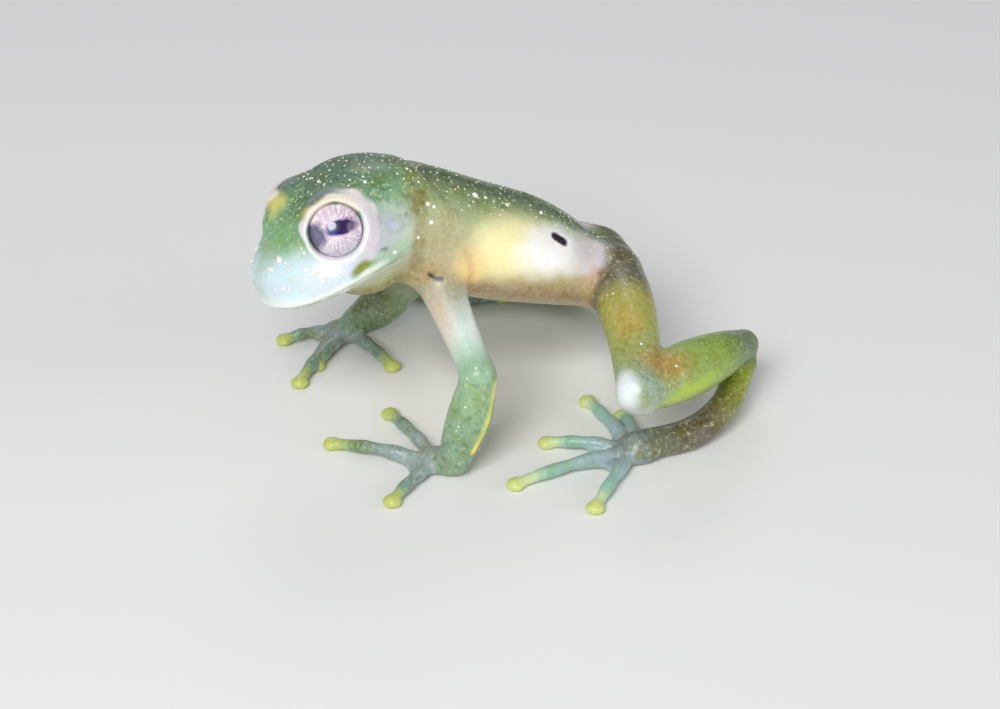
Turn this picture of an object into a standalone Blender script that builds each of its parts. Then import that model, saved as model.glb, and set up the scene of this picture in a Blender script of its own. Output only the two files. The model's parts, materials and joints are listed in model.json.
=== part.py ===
"""A glass frog, life size, standing high on its fingers and toes, as a still model.

The frog faces -X with its left side towards -Y and stands on the floor at z = 0. All sizes
are in millimetres until the last step, which scales each mesh to metres. Head, torso, eyes
and the segments of each limb are separate closed bodies with a small gap between them.
"""

import math

import bmesh
import bpy
import numpy as np
from mathutils import Matrix, Vector

# General sizes
MM = 0.001
GAP = 0.3
MERGE = 0.002
LIMB_SIDES = 14
DIGIT_SIDES = 10
FLOOR_DEPTH = 6.0
CUT_SIZE = 60.0

# Torso stations from neck to vent: x, y, top, bottom, half width
TORSO_STATIONS = (
    (-1.5, -0.3, 17.2, 10.4, 3.8),
    (1.0, -0.1, 16.95, 9.1, 4.2),
    (3.5, 0.0, 15.95, 8.0, 4.5),
    (6.5, 0.1, 14.5, 7.1, 4.7),
    (9.5, 0.1, 13.2, 6.4, 4.5),
    (12.0, 0.0, 11.6, 5.9, 3.9),
    (14.2, 0.0, 9.6, 5.6, 3.1),
    (16.0, 0.0, 8.0, 5.6, 2.2),
    (17.0, 0.0, 7.3, 5.9, 1.4),
)
TORSO_RINGS = 20
TORSO_SIDES = 28

# Head: the point midway between the eyes, and how the head is turned
HEAD_CENTRE = (-4.66, -1.34, 14.24)
HEAD_YAW = 15.0
HEAD_ROLL = 13.5
HEAD_PITCH = 13.0
HEAD_WIDEST = -0.8
HEAD_BACK = -8.0
HEAD_HALF_POINTS = 14
FRONT_SHARE = 0.62
NECK_DISTANCE = 5.3
NECK_YAW = 7.0

# Levels of the head from throat to crown:
# reach in front of the eyes, half width, height at the snout, height at the neck
HEAD_LEVELS = (
    (2.4, 1.5, -3.75, -4.30),
    (3.9, 2.9, -3.80, -3.85),
    (4.6, 3.7, -3.74, -3.50),
    (4.85, 4.05, -3.62, -3.25),
    (4.7, 3.95, -3.50, -3.12),
    (5.05, 4.35, -3.36, -2.95),
    (5.1, 4.48, -2.70, -2.20),
    (5.12, 4.3, -1.90, -1.10),
    (4.9, 3.85, -1.15, 0.20),
    (4.15, 3.2, -0.50, 1.15),
    (2.9, 1.9, 0.20, 1.55),
    (1.7, 0.85, 0.72, 1.74),
)
MOUTH_LEVEL = 4
MOUTH_CORNER = -2.2
SNOUT_END = 5.0
SLOPE_LENGTH = 6.5

# The crown arches up behind the eyes: which levels rise, how much, where, and how far
CROWN_RISES = {8: 0.25, 9: 0.7, 10: 1.0, 11: 1.0}
CROWN_RISE = 1.15
CROWN_TOP = -2.4
CROWN_FRONT = 3.4
CROWN_REAR = 3.3
# The swell of the throat: its middle from between the eyes and its half sizes
THROAT_PLACE = (-1.6, 0.0, -4.0)
THROAT_SIZE = (2.0, 3.2, 1.6)

# Eyes and lids
EYE_OFFSET = 2.65
EYE_RADIUS = 1.9
EYE_AIM = (0.35, 0.88, 0.30)
LID_THICKNESS = 0.3
LID_OPENING = 1.74
LID_OPENING_HEIGHT = 0.98
NOSTRIL_PLACE = (4.75, 1.0, -1.2)
NOSTRIL_RADIUS = 0.2

# Joints of the limbs
JOINTS = {
    "left": {
        "shoulder": (2.3, -2.6, 10.7),
        "elbow": (3.6, -9.0, 6.3),
        "wrist": (1.8, -10.0, 1.15),
        "palm": (1.0, -9.0, 0.75),
        "hip": (14.6, -1.4, 7.9),
        "knee": (12.7, -13.3, 6.15),
        "heel": (22.3, -5.5, 3.8),
        "ankle": (22.1, -5.9, 2.7),
        "ball": (13.4, -11.2, 0.95),
    },
    "right": {
        "shoulder": (2.0, 2.6, 10.6),
        "elbow": (2.6, 7.0, 4.3),
        "wrist": (-0.4, 8.4, 1.35),
        "palm": (-1.4, 8.6, 0.75),
        "hip": (14.4, 1.4, 7.9),
        "knee": (6.2, 10.2, 4.9),
        "heel": (16.9, 6.4, 3.1),
        "ankle": (16.8, 6.8, 2.1),
        "ball": (8.4, 11.6, 0.95),
    },
}

# Limb segments: first joint, last joint, bow of the middle, radii along the length
SEGMENTS = {
    "upper_arm": ("shoulder", "elbow", (0.0, 0.0, 0.1), (1.5, 1.3, 1.12, 1.05)),
    "forearm": ("elbow", "wrist", (0.2, 0.0, 0.0), (1.02, 1.35, 1.38, 1.05)),
    "thigh": ("hip", "knee", (0.3, 0.0, 0.5), (1.95, 1.85, 1.62, 1.4)),
    "shank": ("knee", "heel", (0.3, -0.3, 0.4), (1.35, 1.8, 1.55, 1.0)),
    "tarsus": ("ankle", "ball", (0.7, -1.5, -0.6), (1.0, 0.95, 1.0, 0.95)),
}
SEGMENT_STEPS = 9
CAP_STEPS = 3

# Digits: where each leaves the palm or ball, and where its tip rests
HAND_DIGITS = {
    "left": (
        ((1.5, -8.5), (3.9, -5.4)),
        ((0.8, -8.3), (-0.6, -2.4)),
        ((0.3, -8.7), (-5.0, -5.0)),
        ((0.4, -9.4), (-2.8, -12.5)),
    ),
    "right": (
        ((-0.8, 8.2), (0.9, 3.5)),
        ((-1.5, 8.0), (-4.0, 4.9)),
        ((-1.9, 8.3), (-5.5, 3.0)),
        ((-1.9, 8.9), (-5.4, 8.9)),
    ),
}
FOOT_DIGITS = {
    "left": (
        ((13.7, -10.2), (13.9, -6.5)),
        ((13.1, -10.2), (12.2, -4.2)),
        ((12.6, -10.5), (8.2, -8.4)),
        ((12.5, -11.0), (5.0, -12.6)),
        ((12.9, -11.5), (9.0, -16.4)),
    ),
    "right": (
        ((8.6, 11.2), (10.4, 10.8)),
        ((8.0, 11.3), (6.3, 9.9)),
        ((7.7, 11.7), (4.2, 12.9)),
        ((7.8, 12.1), (3.4, 15.6)),
        ((8.4, 12.3), (6.6, 18.2)),
    ),
}
DIGIT_RADIUS = (0.48, 0.42, 0.38)
DIGIT_ARCH = 0.25
DISC_RADIUS = 0.62
DISC_HALF_THICKNESS = 0.36
SINK = 0.06
PALM_SIZE = (1.35, 1.25, 0.66)
BALL_SIZE = (1.25, 1.2, 0.66)
HAND_WEBS = ((2, 3, 0.45),)
FOOT_WEBS = ((1, 2, 0.36), (2, 3, 0.5), (3, 4, 0.43))
WEB_THICKNESS = 0.5
WEB_HOLLOW = 0.35
WEB_STEP = 0.03

# Colours: base colour and roughness
FINISHES = {
    "dorsum_skin": ((0.42, 0.47, 0.27), 0.35),
    "head_skin": ((0.50, 0.56, 0.42), 0.35),
    "limb_skin": ((0.58, 0.62, 0.36), 0.32),
    "digit_skin": ((0.68, 0.70, 0.42), 0.30),
    "eye": ((0.72, 0.70, 0.80), 0.10),
}


def clear_scene():
    """Remove every object of the start-up scene."""
    for item in list(bpy.data.objects):
        bpy.data.objects.remove(item, do_unlink=True)


def make_finish(name):
    """Return the material of one kind of surface."""
    colour, roughness = FINISHES[name]
    material = bpy.data.materials.new(name)
    material.use_nodes = True
    shader = material.node_tree.nodes["Principled BSDF"]
    shader.inputs["Base Color"].default_value = (*colour, 1.0)
    shader.inputs["Roughness"].default_value = roughness
    material.diffuse_color = (*colour, 1.0)
    return material


def spline(points, count):
    """Read a smooth curve through the points at evenly spaced places."""
    points = np.asarray(points, float)
    steps = np.linalg.norm(np.diff(points[:, :3], axis=0), axis=1)
    lengths = np.concatenate(([0.0], np.cumsum(steps)))
    before = 2.0 * points[0] - points[1]
    after = 2.0 * points[-1] - points[-2]
    padded = np.vstack([before, points, after])
    places = np.linspace(0.0, lengths[-1], count)
    index = np.clip(np.searchsorted(lengths, places, side="right") - 1, 0, len(points) - 2)
    t = ((places - lengths[index]) / (lengths[index + 1] - lengths[index]))[:, None]
    a, b, c, d = (padded[index + k] for k in range(4))
    cubic = -a + 3.0 * b - 3.0 * c + d
    square = 2.0 * a - 5.0 * b + 4.0 * c - d
    return 0.5 * (2.0 * b + (c - a) * t + square * t**2 + cubic * t**3)


def unit(vector):
    """Return the vector at length one."""
    vector = np.asarray(vector, float)
    return vector / np.linalg.norm(vector)


def mesh_object(name, vertices, faces):
    """Make an object from vertices in millimetres and faces, with normals outwards."""
    mesh = bpy.data.meshes.new(name)
    mesh.from_pydata([tuple(map(float, v)) for v in vertices], [], faces)
    work = bmesh.new()
    work.from_mesh(mesh)
    bmesh.ops.recalc_face_normals(work, faces=work.faces)
    work.to_mesh(mesh)
    work.free()
    item = bpy.data.objects.new(name, mesh)
    bpy.context.scene.collection.objects.link(item)
    return item


def loft(name, rings, first_pole, last_pole):
    """Close a stack of rings with a fan of triangles at each end."""
    sides = len(rings[0])
    vertices = [first_pole]
    for ring in rings:
        vertices.extend(ring)
    vertices.append(last_pole)
    faces = []
    for k in range(sides):
        faces.append((0, 1 + (k + 1) % sides, 1 + k))
    for row in range(len(rings) - 1):
        low = 1 + row * sides
        for k in range(sides):
            after = (k + 1) % sides
            faces.append((low + k, low + after, low + sides + after, low + sides + k))
    low = 1 + (len(rings) - 1) * sides
    for k in range(sides):
        faces.append((low + k, low + (k + 1) % sides, len(vertices) - 1))
    return mesh_object(name, vertices, faces)


def folded_loft(name, rings):
    """Close a stack of two-sided rings by joining their left and right points straight across."""
    count = len(rings[0])
    vertices = [point for ring in rings for point in ring]
    faces = []
    for row in range(len(rings) - 1):
        low = row * count
        for k in range(count):
            after = (k + 1) % count
            faces.append((low + k, low + after, low + count + after, low + count + k))
    for low in (0, (len(rings) - 1) * count):
        last = low + count - 1
        for k in range(count // 2 - 1):
            faces.append((low + k, low + k + 1, last - k - 1))
            faces.append((low + k, last - k - 1, last - k))
        middle = low + count // 2
        faces.append((middle - 1, middle, middle + 1))
    return mesh_object(name, vertices, faces)


def tube(name, stations, sides, steps):
    """Sweep a circle along stations of x, y, z, radius and round both ends off."""
    line = spline(stations, steps)
    centres = line[:, :3]
    radii = line[:, 3]
    tangents = np.gradient(centres, axis=0)
    tangents /= np.linalg.norm(tangents, axis=1)[:, None]
    side = np.cross(tangents[0], (0.0, 0.0, 1.0))
    if np.linalg.norm(side) < 0.2:
        side = np.cross(tangents[0], (0.0, 1.0, 0.0))
    rows = []
    for cap in range(CAP_STEPS, 0, -1):
        angle = 0.5 * math.pi * cap / (CAP_STEPS + 1)
        rows.append((centres[0] - tangents[0] * radii[0] * math.sin(angle),
                     tangents[0], radii[0] * math.cos(angle)))
    rows.extend(zip(centres, tangents, radii))
    for cap in range(1, CAP_STEPS + 1):
        angle = 0.5 * math.pi * cap / (CAP_STEPS + 1)
        rows.append((centres[-1] + tangents[-1] * radii[-1] * math.sin(angle),
                     tangents[-1], radii[-1] * math.cos(angle)))
    rings = []
    for centre, tangent, radius in rows:
        side = unit(side - np.dot(side, tangent) * tangent)
        up = np.cross(tangent, side)
        turns = np.arange(sides) * 2.0 * math.pi / sides
        rings.append([centre + radius * (math.cos(t) * side + math.sin(t) * up) for t in turns])
    first = centres[0] - tangents[0] * radii[0]
    last = centres[-1] + tangents[-1] * radii[-1]
    return loft(name, rings, first, last)


def ellipsoid(name, centre, size, axes=None, segments=16, rows=8):
    """Make an ellipsoid with half sizes along the given axes."""
    frame = np.eye(3) if axes is None else np.asarray(axes)
    rings = []
    for row in range(1, rows):
        polar = math.pi * row / rows
        ring = []
        for k in range(segments):
            turn = 2.0 * math.pi * k / segments
            local = (size[0] * math.sin(polar) * math.cos(turn),
                     size[1] * math.sin(polar) * math.sin(turn),
                     -size[2] * math.cos(polar))
            ring.append(np.asarray(centre) + local[0] * frame[0] + local[1] * frame[1]
                        + local[2] * frame[2])
        rings.append(ring)
    foot = np.asarray(centre) - size[2] * frame[2]
    top = np.asarray(centre) + size[2] * frame[2]
    return loft(name, rings, foot, top)


def block(name, centre, size, axes=None):
    """Make a box with full sizes along the given axes."""
    frame = np.eye(3) if axes is None else np.asarray(axes)
    half = np.asarray(size) * 0.5
    corners = []
    for z in (-1, 1):
        for x, y in ((-1, -1), (1, -1), (1, 1), (-1, 1)):
            local = np.array((x, y, z)) * half
            corners.append(np.asarray(centre) + local @ frame)
    faces = [(3, 2, 1, 0), (4, 5, 6, 7)]
    for k in range(4):
        after = (k + 1) % 4
        faces.append((k, after, 4 + after, 4 + k))
    return mesh_object(name, corners, faces)


def apply_boolean(target, settings):
    """Run one Boolean modifier on the target and keep its result as the mesh."""
    modifier = target.modifiers.new("join", "BOOLEAN")
    for key, value in settings.items():
        setattr(modifier, key, value)
    graph = bpy.context.evaluated_depsgraph_get()
    result = bpy.data.meshes.new_from_object(target.evaluated_get(graph))
    target.modifiers.clear()
    old = target.data
    target.data = result
    bpy.data.meshes.remove(old)


def join(name, pieces, solver="EXACT"):
    """Fuse closed pieces into the first one and remove the others."""
    target = pieces[0]
    target.name = name
    group = bpy.data.collections.new(name + "_pieces")
    bpy.context.scene.collection.children.link(group)
    for piece in pieces[1:]:
        group.objects.link(piece)
    apply_boolean(target, {"operation": "UNION", "operand_type": "COLLECTION",
                           "collection": group, "solver": solver})
    for piece in pieces[1:]:
        bpy.data.objects.remove(piece, do_unlink=True)
    bpy.data.collections.remove(group)
    return target


def cut(target, cutter, keep_cutter=False):
    """Take the cutter's space out of the target."""
    cutter.hide_render = True
    cutter.display_type = "WIRE"
    apply_boolean(target, {"operation": "DIFFERENCE", "object": cutter, "solver": "EXACT"})
    if not keep_cutter:
        bpy.data.objects.remove(cutter, do_unlink=True)


def keep_largest(item):
    """Merge close points, make triangles and keep only the largest closed surface."""
    work = bmesh.new()
    work.from_mesh(item.data)
    bmesh.ops.remove_doubles(work, verts=work.verts, dist=MERGE)
    bmesh.ops.dissolve_degenerate(work, edges=work.edges, dist=MERGE)
    bmesh.ops.triangulate(work, faces=work.faces)
    seen = set()
    shells = []
    for start in work.faces:
        if start.index in seen:
            continue
        shell = []
        waiting = [start]
        seen.add(start.index)
        while waiting:
            face = waiting.pop()
            shell.append(face)
            for edge in face.edges:
                for other in edge.link_faces:
                    if other.index not in seen:
                        seen.add(other.index)
                        waiting.append(other)
        shells.append(shell)
    shells.sort(key=lambda faces: sum(face.calc_area() for face in faces), reverse=True)
    for shell in shells[1:]:
        bmesh.ops.delete(work, geom=shell, context="FACES")
    loose = [vertex for vertex in work.verts if not vertex.link_faces]
    bmesh.ops.delete(work, geom=loose, context="VERTS")
    bmesh.ops.recalc_face_normals(work, faces=work.faces)
    work.to_mesh(item.data)
    work.free()


def head_axes():
    """Return the head's forward, left and up directions."""
    yaw, roll, pitch = (math.radians(a) for a in (HEAD_YAW, HEAD_ROLL, HEAD_PITCH))
    forward = np.array((-math.cos(yaw), -math.sin(yaw), 0.0))
    left = np.array((math.sin(yaw), -math.cos(yaw), 0.0))
    up = np.array((0.0, 0.0, 1.0))
    left, up = (math.cos(roll) * left + math.sin(roll) * up,
                math.cos(roll) * up - math.sin(roll) * left)
    forward, up = (math.cos(pitch) * forward - math.sin(pitch) * up,
                   math.cos(pitch) * up + math.sin(pitch) * forward)
    return forward, left, up


def head_place(ahead, left, up):
    """Turn head measures into a point in the frog's own frame."""
    axes = head_axes()
    return np.asarray(HEAD_CENTRE) + ahead * axes[0] + left * axes[1] + up * axes[2]


def head_ring(level):
    """Return the points of one level of the head, round the snout from cheek to cheek."""
    reach, width, front_height, back_height = HEAD_LEVELS[level]
    lip = HEAD_LEVELS[level + 1 if level == MOUTH_LEVEL else level]
    points = []
    for k in range(-HEAD_HALF_POINTS, HEAD_HALF_POINTS + 1):
        share = abs(k) / HEAD_HALF_POINTS
        if share <= FRONT_SHARE:
            turn = 0.5 * math.pi * share / FRONT_SHARE
            ahead = HEAD_WIDEST + (reach - HEAD_WIDEST) * math.cos(turn) ** 0.85
            side = width * math.sin(turn) ** 0.92
        else:
            run = (share - FRONT_SHARE) / (1.0 - FRONT_SHARE)
            ahead = HEAD_WIDEST + (HEAD_BACK - HEAD_WIDEST) * run
            side = width * (1.0 - 0.14 * run**2)
        if level == MOUTH_LEVEL and ahead < MOUTH_CORNER:
            side *= lip[1] / width
        slope = min(1.0, max(0.0, (SNOUT_END - ahead) / SLOPE_LENGTH))
        height = front_height + (back_height - front_height) * slope**2 * (3.0 - 2.0 * slope)
        height += CROWN_RISES.get(level, 0.0) * crown_arch(ahead)
        points.append(head_place(ahead, math.copysign(side, k), height))
    return points


def crown_arch(ahead):
    """Return how far the crown rises at a distance ahead of the eyes."""
    if ahead > CROWN_TOP:
        return CROWN_RISE * max(0.0, 1.0 - ((ahead - CROWN_TOP) / CROWN_FRONT) ** 2)
    return CROWN_RISE - ((ahead - CROWN_TOP) / CROWN_REAR) ** 2


def make_head():
    """Build the head with lips, mouth line, nostrils, lids and eye sockets."""
    rings = [head_ring(level) for level in range(len(HEAD_LEVELS))]
    head = folded_loft("head", rings)
    lids = []
    for sign in (1.0, -1.0):
        centre = head_place(0.0, sign * EYE_OFFSET, 0.0)
        radius = EYE_RADIUS + GAP + LID_THICKNESS
        lids.append(ellipsoid("lid", centre, (radius, radius, radius), None, 24, 14))
    throat = ellipsoid("throat", head_place(*THROAT_PLACE), THROAT_SIZE, head_axes(), 24, 12)
    head = join("head", [head, throat, *lids], "MANIFOLD")
    for sign in (1.0, -1.0):
        centre = head_place(0.0, sign * EYE_OFFSET, 0.0)
        radius = EYE_RADIUS + GAP
        cut(head, ellipsoid("socket", centre, (radius, radius, radius), None, 24, 14))
        cut(head, lid_opening(sign))
        place = head_place(NOSTRIL_PLACE[0], sign * NOSTRIL_PLACE[1], NOSTRIL_PLACE[2])
        size = (NOSTRIL_RADIUS, NOSTRIL_RADIUS, NOSTRIL_RADIUS)
        cut(head, ellipsoid("nostril", place, size, None, 8, 6))
    cut(head, neck_block(-1.0))
    keep_largest(head)
    return head


def eye_axes(sign):
    """Return directions across, up and out of one eye."""
    forward, left, up = head_axes()
    out = unit(EYE_AIM[0] * forward + sign * EYE_AIM[1] * left + EYE_AIM[2] * up)
    across = unit(np.cross(up, out))
    return across, np.cross(out, across), out


def lid_opening(sign):
    """Return a cutter shaped like the space between the upper and the lower lid."""
    across, upward, out = eye_axes(sign)
    centre = head_place(0.0, sign * EYE_OFFSET, 0.0)
    rings = []
    for depth, grow in ((0.4, 0.75), (1.2, 1.0), (3.5, 1.25)):
        ring = []
        for k in range(20):
            turn = 2.0 * math.pi * k / 20
            ring.append(centre + depth * out + grow * LID_OPENING * (
                math.cos(turn) * across + LID_OPENING_HEIGHT * math.sin(turn) * upward))
        rings.append(ring)
    return loft("lid_opening", rings, centre + 0.4 * out, centre + 3.5 * out)


def neck_block(side):
    """Return a block that fills the space behind (-1) or before (+1) the neck."""
    yaw = math.radians(NECK_YAW)
    forward = np.array((-math.cos(yaw), -math.sin(yaw), 0.0))
    left = np.array((math.sin(yaw), -math.cos(yaw), 0.0))
    up = np.array((0.0, 0.0, 1.0))
    middle = np.asarray(HEAD_CENTRE) - NECK_DISTANCE * forward
    centre = middle + side * (0.5 * CUT_SIZE - 0.5 * GAP) * forward
    return block("neck_block", centre, (CUT_SIZE, CUT_SIZE, CUT_SIZE), (forward, left, up))


def torso_shape(name, extra):
    """Loft the torso, thicker all round by the extra amount."""
    rows = [(x, 0.0, 0.0, y, top, bottom, width)
            for x, y, top, bottom, width in TORSO_STATIONS]
    rings = []
    line = spline(rows, TORSO_RINGS)
    for x, _, _, y, top, bottom, width in line:
        middle = 0.5 * (top + bottom)
        half = 0.5 * (top - bottom) + extra
        ring = []
        for k in range(TORSO_SIDES):
            turn = 2.0 * math.pi * k / TORSO_SIDES
            ring.append((x, y + (width + extra) * math.cos(turn), middle + half * math.sin(turn)))
        rings.append(ring)
    first = line[0]
    last = line[-1]
    front = (first[0] - extra, first[3], 0.5 * (first[4] + first[5]))
    back = (last[0] + 0.5 + extra, last[3], 0.5 * (last[4] + last[5]))
    return loft(name, rings, front, back)


def segment_stations(side, part, extra=0.0):
    """Return the stations of one limb segment."""
    first, last, bow, radii = SEGMENTS[part]
    start = np.asarray(JOINTS[side][first])
    end = np.asarray(JOINTS[side][last])
    offset = np.asarray(bow)
    if side == "right":
        offset = offset * np.array((1.0, -1.0, 1.0))
    stations = []
    for k, radius in enumerate(radii):
        share = k / (len(radii) - 1)
        centre = start + (end - start) * share + offset * 4.0 * share * (1.0 - share)
        stations.append((*centre, radius + extra))
    return stations


def make_segment(side, part, cutters):
    """Build one limb segment and cut it clear of what it grows from."""
    name = side + "_" + part
    item = tube(name, segment_stations(side, part), LIMB_SIDES, SEGMENT_STEPS)
    for cutter in cutters:
        cut(item, cutter)
    cut(item, floor_block())
    keep_largest(item)
    return item


def floor_block():
    """Return a block whose top face is the floor."""
    centre = (7.0, 0.0, -0.5 * FLOOR_DEPTH)
    return block("floor_block", centre, (CUT_SIZE, CUT_SIZE, FLOOR_DEPTH))


def digit_pieces(base, tip):
    """Return the pieces of one finger or toe: its shaft and its disc."""
    start = np.array((base[0], base[1], DIGIT_RADIUS[0] - SINK))
    end = np.array((tip[0], tip[1], DISC_HALF_THICKNESS - SINK))
    stations = []
    for k, radius in enumerate(DIGIT_RADIUS):
        share = k / (len(DIGIT_RADIUS) - 1)
        centre = start + (end - start) * share
        lift = DIGIT_ARCH * 4.0 * share * (1.0 - share)
        stations.append((centre[0], centre[1], centre[2] + lift, radius))
    along = unit((tip[0] - base[0], tip[1] - base[1], 0.0))
    across = np.array((-along[1], along[0], 0.0))
    size = (DISC_RADIUS * 0.9, DISC_RADIUS, DISC_HALF_THICKNESS)
    disc = ellipsoid("disc", end, size, (along, across, (0.0, 0.0, 1.0)), 12, 6)
    return [tube("shaft", stations, DIGIT_SIDES, 6), disc]


def web_plate(digits, first, second, reach):
    """Return the web between two digits, its free edge hollowed in."""
    step = WEB_STEP * first
    outline = []
    root = np.mean([digits[first][0], digits[second][0]], axis=0)
    tips = [np.asarray(digits[k][1]) for k in (first, second)]
    bases = [np.asarray(digits[k][0]) for k in (first, second)]
    ends = [bases[k] + (tips[k] - bases[k]) * reach for k in (0, 1)]
    outline.append(root)
    for k in range(7):
        share = k / 6
        point = ends[0] + (ends[1] - ends[0]) * share
        pull = WEB_HOLLOW * 4.0 * share * (1.0 - share)
        outline.append(point + (root - point) * pull)
    count = len(outline)
    low = [(p[0], p[1], -SINK - step) for p in outline]
    high = [(p[0], p[1], WEB_THICKNESS + step) for p in outline]
    faces = [tuple(range(count)), tuple(range(2 * count - 1, count - 1, -1))]
    for k in range(count):
        after = (k + 1) % count
        faces.append((k, after, count + after, count + k))
    return mesh_object("web", low + high, faces)


def make_extremity(name, middle, size, digits, webs, cutter):
    """Build a hand or a foot from its pad, digits and webs."""
    centre = (middle[0], middle[1], size[2] - SINK)
    pieces = [ellipsoid(name, centre, size, None, 16, 8)]
    for base, tip in digits:
        pieces.extend(digit_pieces(base, tip))
    for first, second, reach in webs:
        pieces.append(web_plate(digits, first, second, reach))
    item = join(name, pieces)
    cut(item, cutter)
    cut(item, floor_block())
    keep_largest(item)
    return item


def make_eye(side, sign):
    """Build one eyeball with its pole looking out of the lids."""
    centre = head_place(0.0, sign * EYE_OFFSET, 0.0)
    size = (EYE_RADIUS, EYE_RADIUS, EYE_RADIUS)
    item = ellipsoid(side + "_eye", centre, size, eye_axes(sign), 20, 12)
    keep_largest(item)
    return item


def place_node(item, origin, finish, root):
    """Move the mesh to its own origin, scale it to metres and hang it on the root."""
    origin = Vector([float(v) for v in origin])
    item.data.transform(Matrix.Translation(-origin))
    item.data.transform(Matrix.Scale(MM, 4))
    item.location = origin * MM
    item.parent = root
    item.data.materials.clear()
    item.data.materials.append(finish)
    item.data.shade_smooth()
    item.data.set_sharp_from_angle(angle=math.radians(50.0))


def main():
    """Build every node of the frog and set it on the floor around the origin."""
    clear_scene()
    finishes = {name: make_finish(name) for name in FINISHES}
    nodes = []

    torso = torso_shape("torso", 0.0)
    cut(torso, neck_block(1.0))
    keep_largest(torso)
    nodes.append((torso, (7.0, 0.0, 11.0), "dorsum_skin"))
    nodes.append((make_head(), HEAD_CENTRE, "head_skin"))

    for side, sign in (("left", 1.0), ("right", -1.0)):
        joints = JOINTS[side]
        eye = make_eye(side, sign)
        nodes.append((eye, head_place(0.0, sign * EYE_OFFSET, 0.0), "eye"))

        body = torso_shape("body_cutter", GAP)
        arm = make_segment(side, "upper_arm", [body, neck_block(1.0)])
        upper = tube("cutter", segment_stations(side, "upper_arm", GAP), LIMB_SIDES, SEGMENT_STEPS)
        forearm = make_segment(side, "forearm", [upper])
        lower = tube("cutter", segment_stations(side, "forearm", GAP), LIMB_SIDES, SEGMENT_STEPS)
        hand = make_extremity(side + "_hand", joints["palm"], PALM_SIZE,
                              HAND_DIGITS[side], HAND_WEBS, lower)
        nodes.append((arm, joints["shoulder"], "limb_skin"))
        nodes.append((forearm, joints["elbow"], "limb_skin"))
        nodes.append((hand, joints["palm"], "digit_skin"))

        body = torso_shape("body_cutter", GAP)
        thigh = make_segment(side, "thigh", [body])
        upper = tube("cutter", segment_stations(side, "thigh", GAP), LIMB_SIDES, SEGMENT_STEPS)
        shank = make_segment(side, "shank", [upper])
        middle = tube("cutter", segment_stations(side, "shank", GAP), LIMB_SIDES, SEGMENT_STEPS)
        tarsus = make_segment(side, "tarsus", [middle])
        lower = tube("cutter", segment_stations(side, "tarsus", GAP), LIMB_SIDES, SEGMENT_STEPS)
        foot = make_extremity(side + "_foot", joints["ball"], BALL_SIZE,
                              FOOT_DIGITS[side], FOOT_WEBS, lower)
        nodes.append((thigh, joints["hip"], "limb_skin"))
        nodes.append((shank, joints["knee"], "limb_skin"))
        nodes.append((tarsus, joints["heel"], "limb_skin"))
        nodes.append((foot, joints["ball"], "digit_skin"))

    corners = np.array([vertex.co[:] for item, _, _ in nodes for vertex in item.data.vertices])
    middle = 0.5 * (corners.min(axis=0) + corners.max(axis=0))
    root = bpy.data.objects.new("glass_frog", None)
    bpy.context.scene.collection.objects.link(root)
    root.location = Vector((-middle[0], -middle[1], 0.0)) * MM
    for item, origin, finish in nodes:
        place_node(item, origin, finishes[finish], root)


main()
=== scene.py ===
"""The looks of a life-size still model of a small glass frog.

Sizes are in millimetres in the frog's own frame: it faces -X, its left side is towards -Y and
it stands on the floor at z = 0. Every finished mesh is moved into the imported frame, in metres,
by Place. The skin is built as one volume of distances, read off as one mesh and painted from
named zones. The eyes are pieces of their own.
"""

import json
import logging
import math
from dataclasses import dataclass, field
from enum import Enum

import bpy
import numpy as np
import openvdb
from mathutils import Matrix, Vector, noise

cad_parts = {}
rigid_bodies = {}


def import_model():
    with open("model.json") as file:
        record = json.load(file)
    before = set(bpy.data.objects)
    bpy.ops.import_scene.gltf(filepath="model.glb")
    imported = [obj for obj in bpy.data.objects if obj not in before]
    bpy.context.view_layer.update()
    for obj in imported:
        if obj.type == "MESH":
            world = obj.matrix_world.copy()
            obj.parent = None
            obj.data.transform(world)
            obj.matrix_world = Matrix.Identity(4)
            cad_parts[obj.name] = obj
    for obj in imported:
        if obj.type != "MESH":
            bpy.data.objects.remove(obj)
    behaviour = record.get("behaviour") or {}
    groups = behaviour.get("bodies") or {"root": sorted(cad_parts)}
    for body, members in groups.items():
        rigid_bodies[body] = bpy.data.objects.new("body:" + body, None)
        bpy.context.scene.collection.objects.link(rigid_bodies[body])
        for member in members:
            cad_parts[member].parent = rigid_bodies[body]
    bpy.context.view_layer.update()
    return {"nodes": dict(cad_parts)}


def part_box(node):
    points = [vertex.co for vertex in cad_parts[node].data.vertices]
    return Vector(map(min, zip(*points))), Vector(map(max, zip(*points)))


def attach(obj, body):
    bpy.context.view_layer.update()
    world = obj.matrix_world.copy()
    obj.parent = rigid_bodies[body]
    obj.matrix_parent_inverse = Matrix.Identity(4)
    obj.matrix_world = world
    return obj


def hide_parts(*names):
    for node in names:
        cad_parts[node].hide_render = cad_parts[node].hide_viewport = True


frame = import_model()

MM = 0.001
Point = tuple[float, float, float]
Array = np.ndarray
log = logging.getLogger("glass_frog")


class Side(Enum):
    """The two sides of the frog."""

    LEFT = "left"
    RIGHT = "right"

    @property
    def sign(self) -> float:
        """Return +1 on the frog's left and -1 on its right."""
        return 1.0 if self is Side.LEFT else -1.0


def unit(vector: Array) -> Array:
    """Return the vector at length one."""
    vector = np.asarray(vector, float)
    return vector / np.linalg.norm(vector)


def ease(values: Array, low: float, high: float) -> Array:
    """Rise smoothly from 0 at low to 1 at high."""
    t = np.clip((values - low) / (high - low), 0.0, 1.0)
    return t * t * (3.0 - 2.0 * t)


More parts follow.
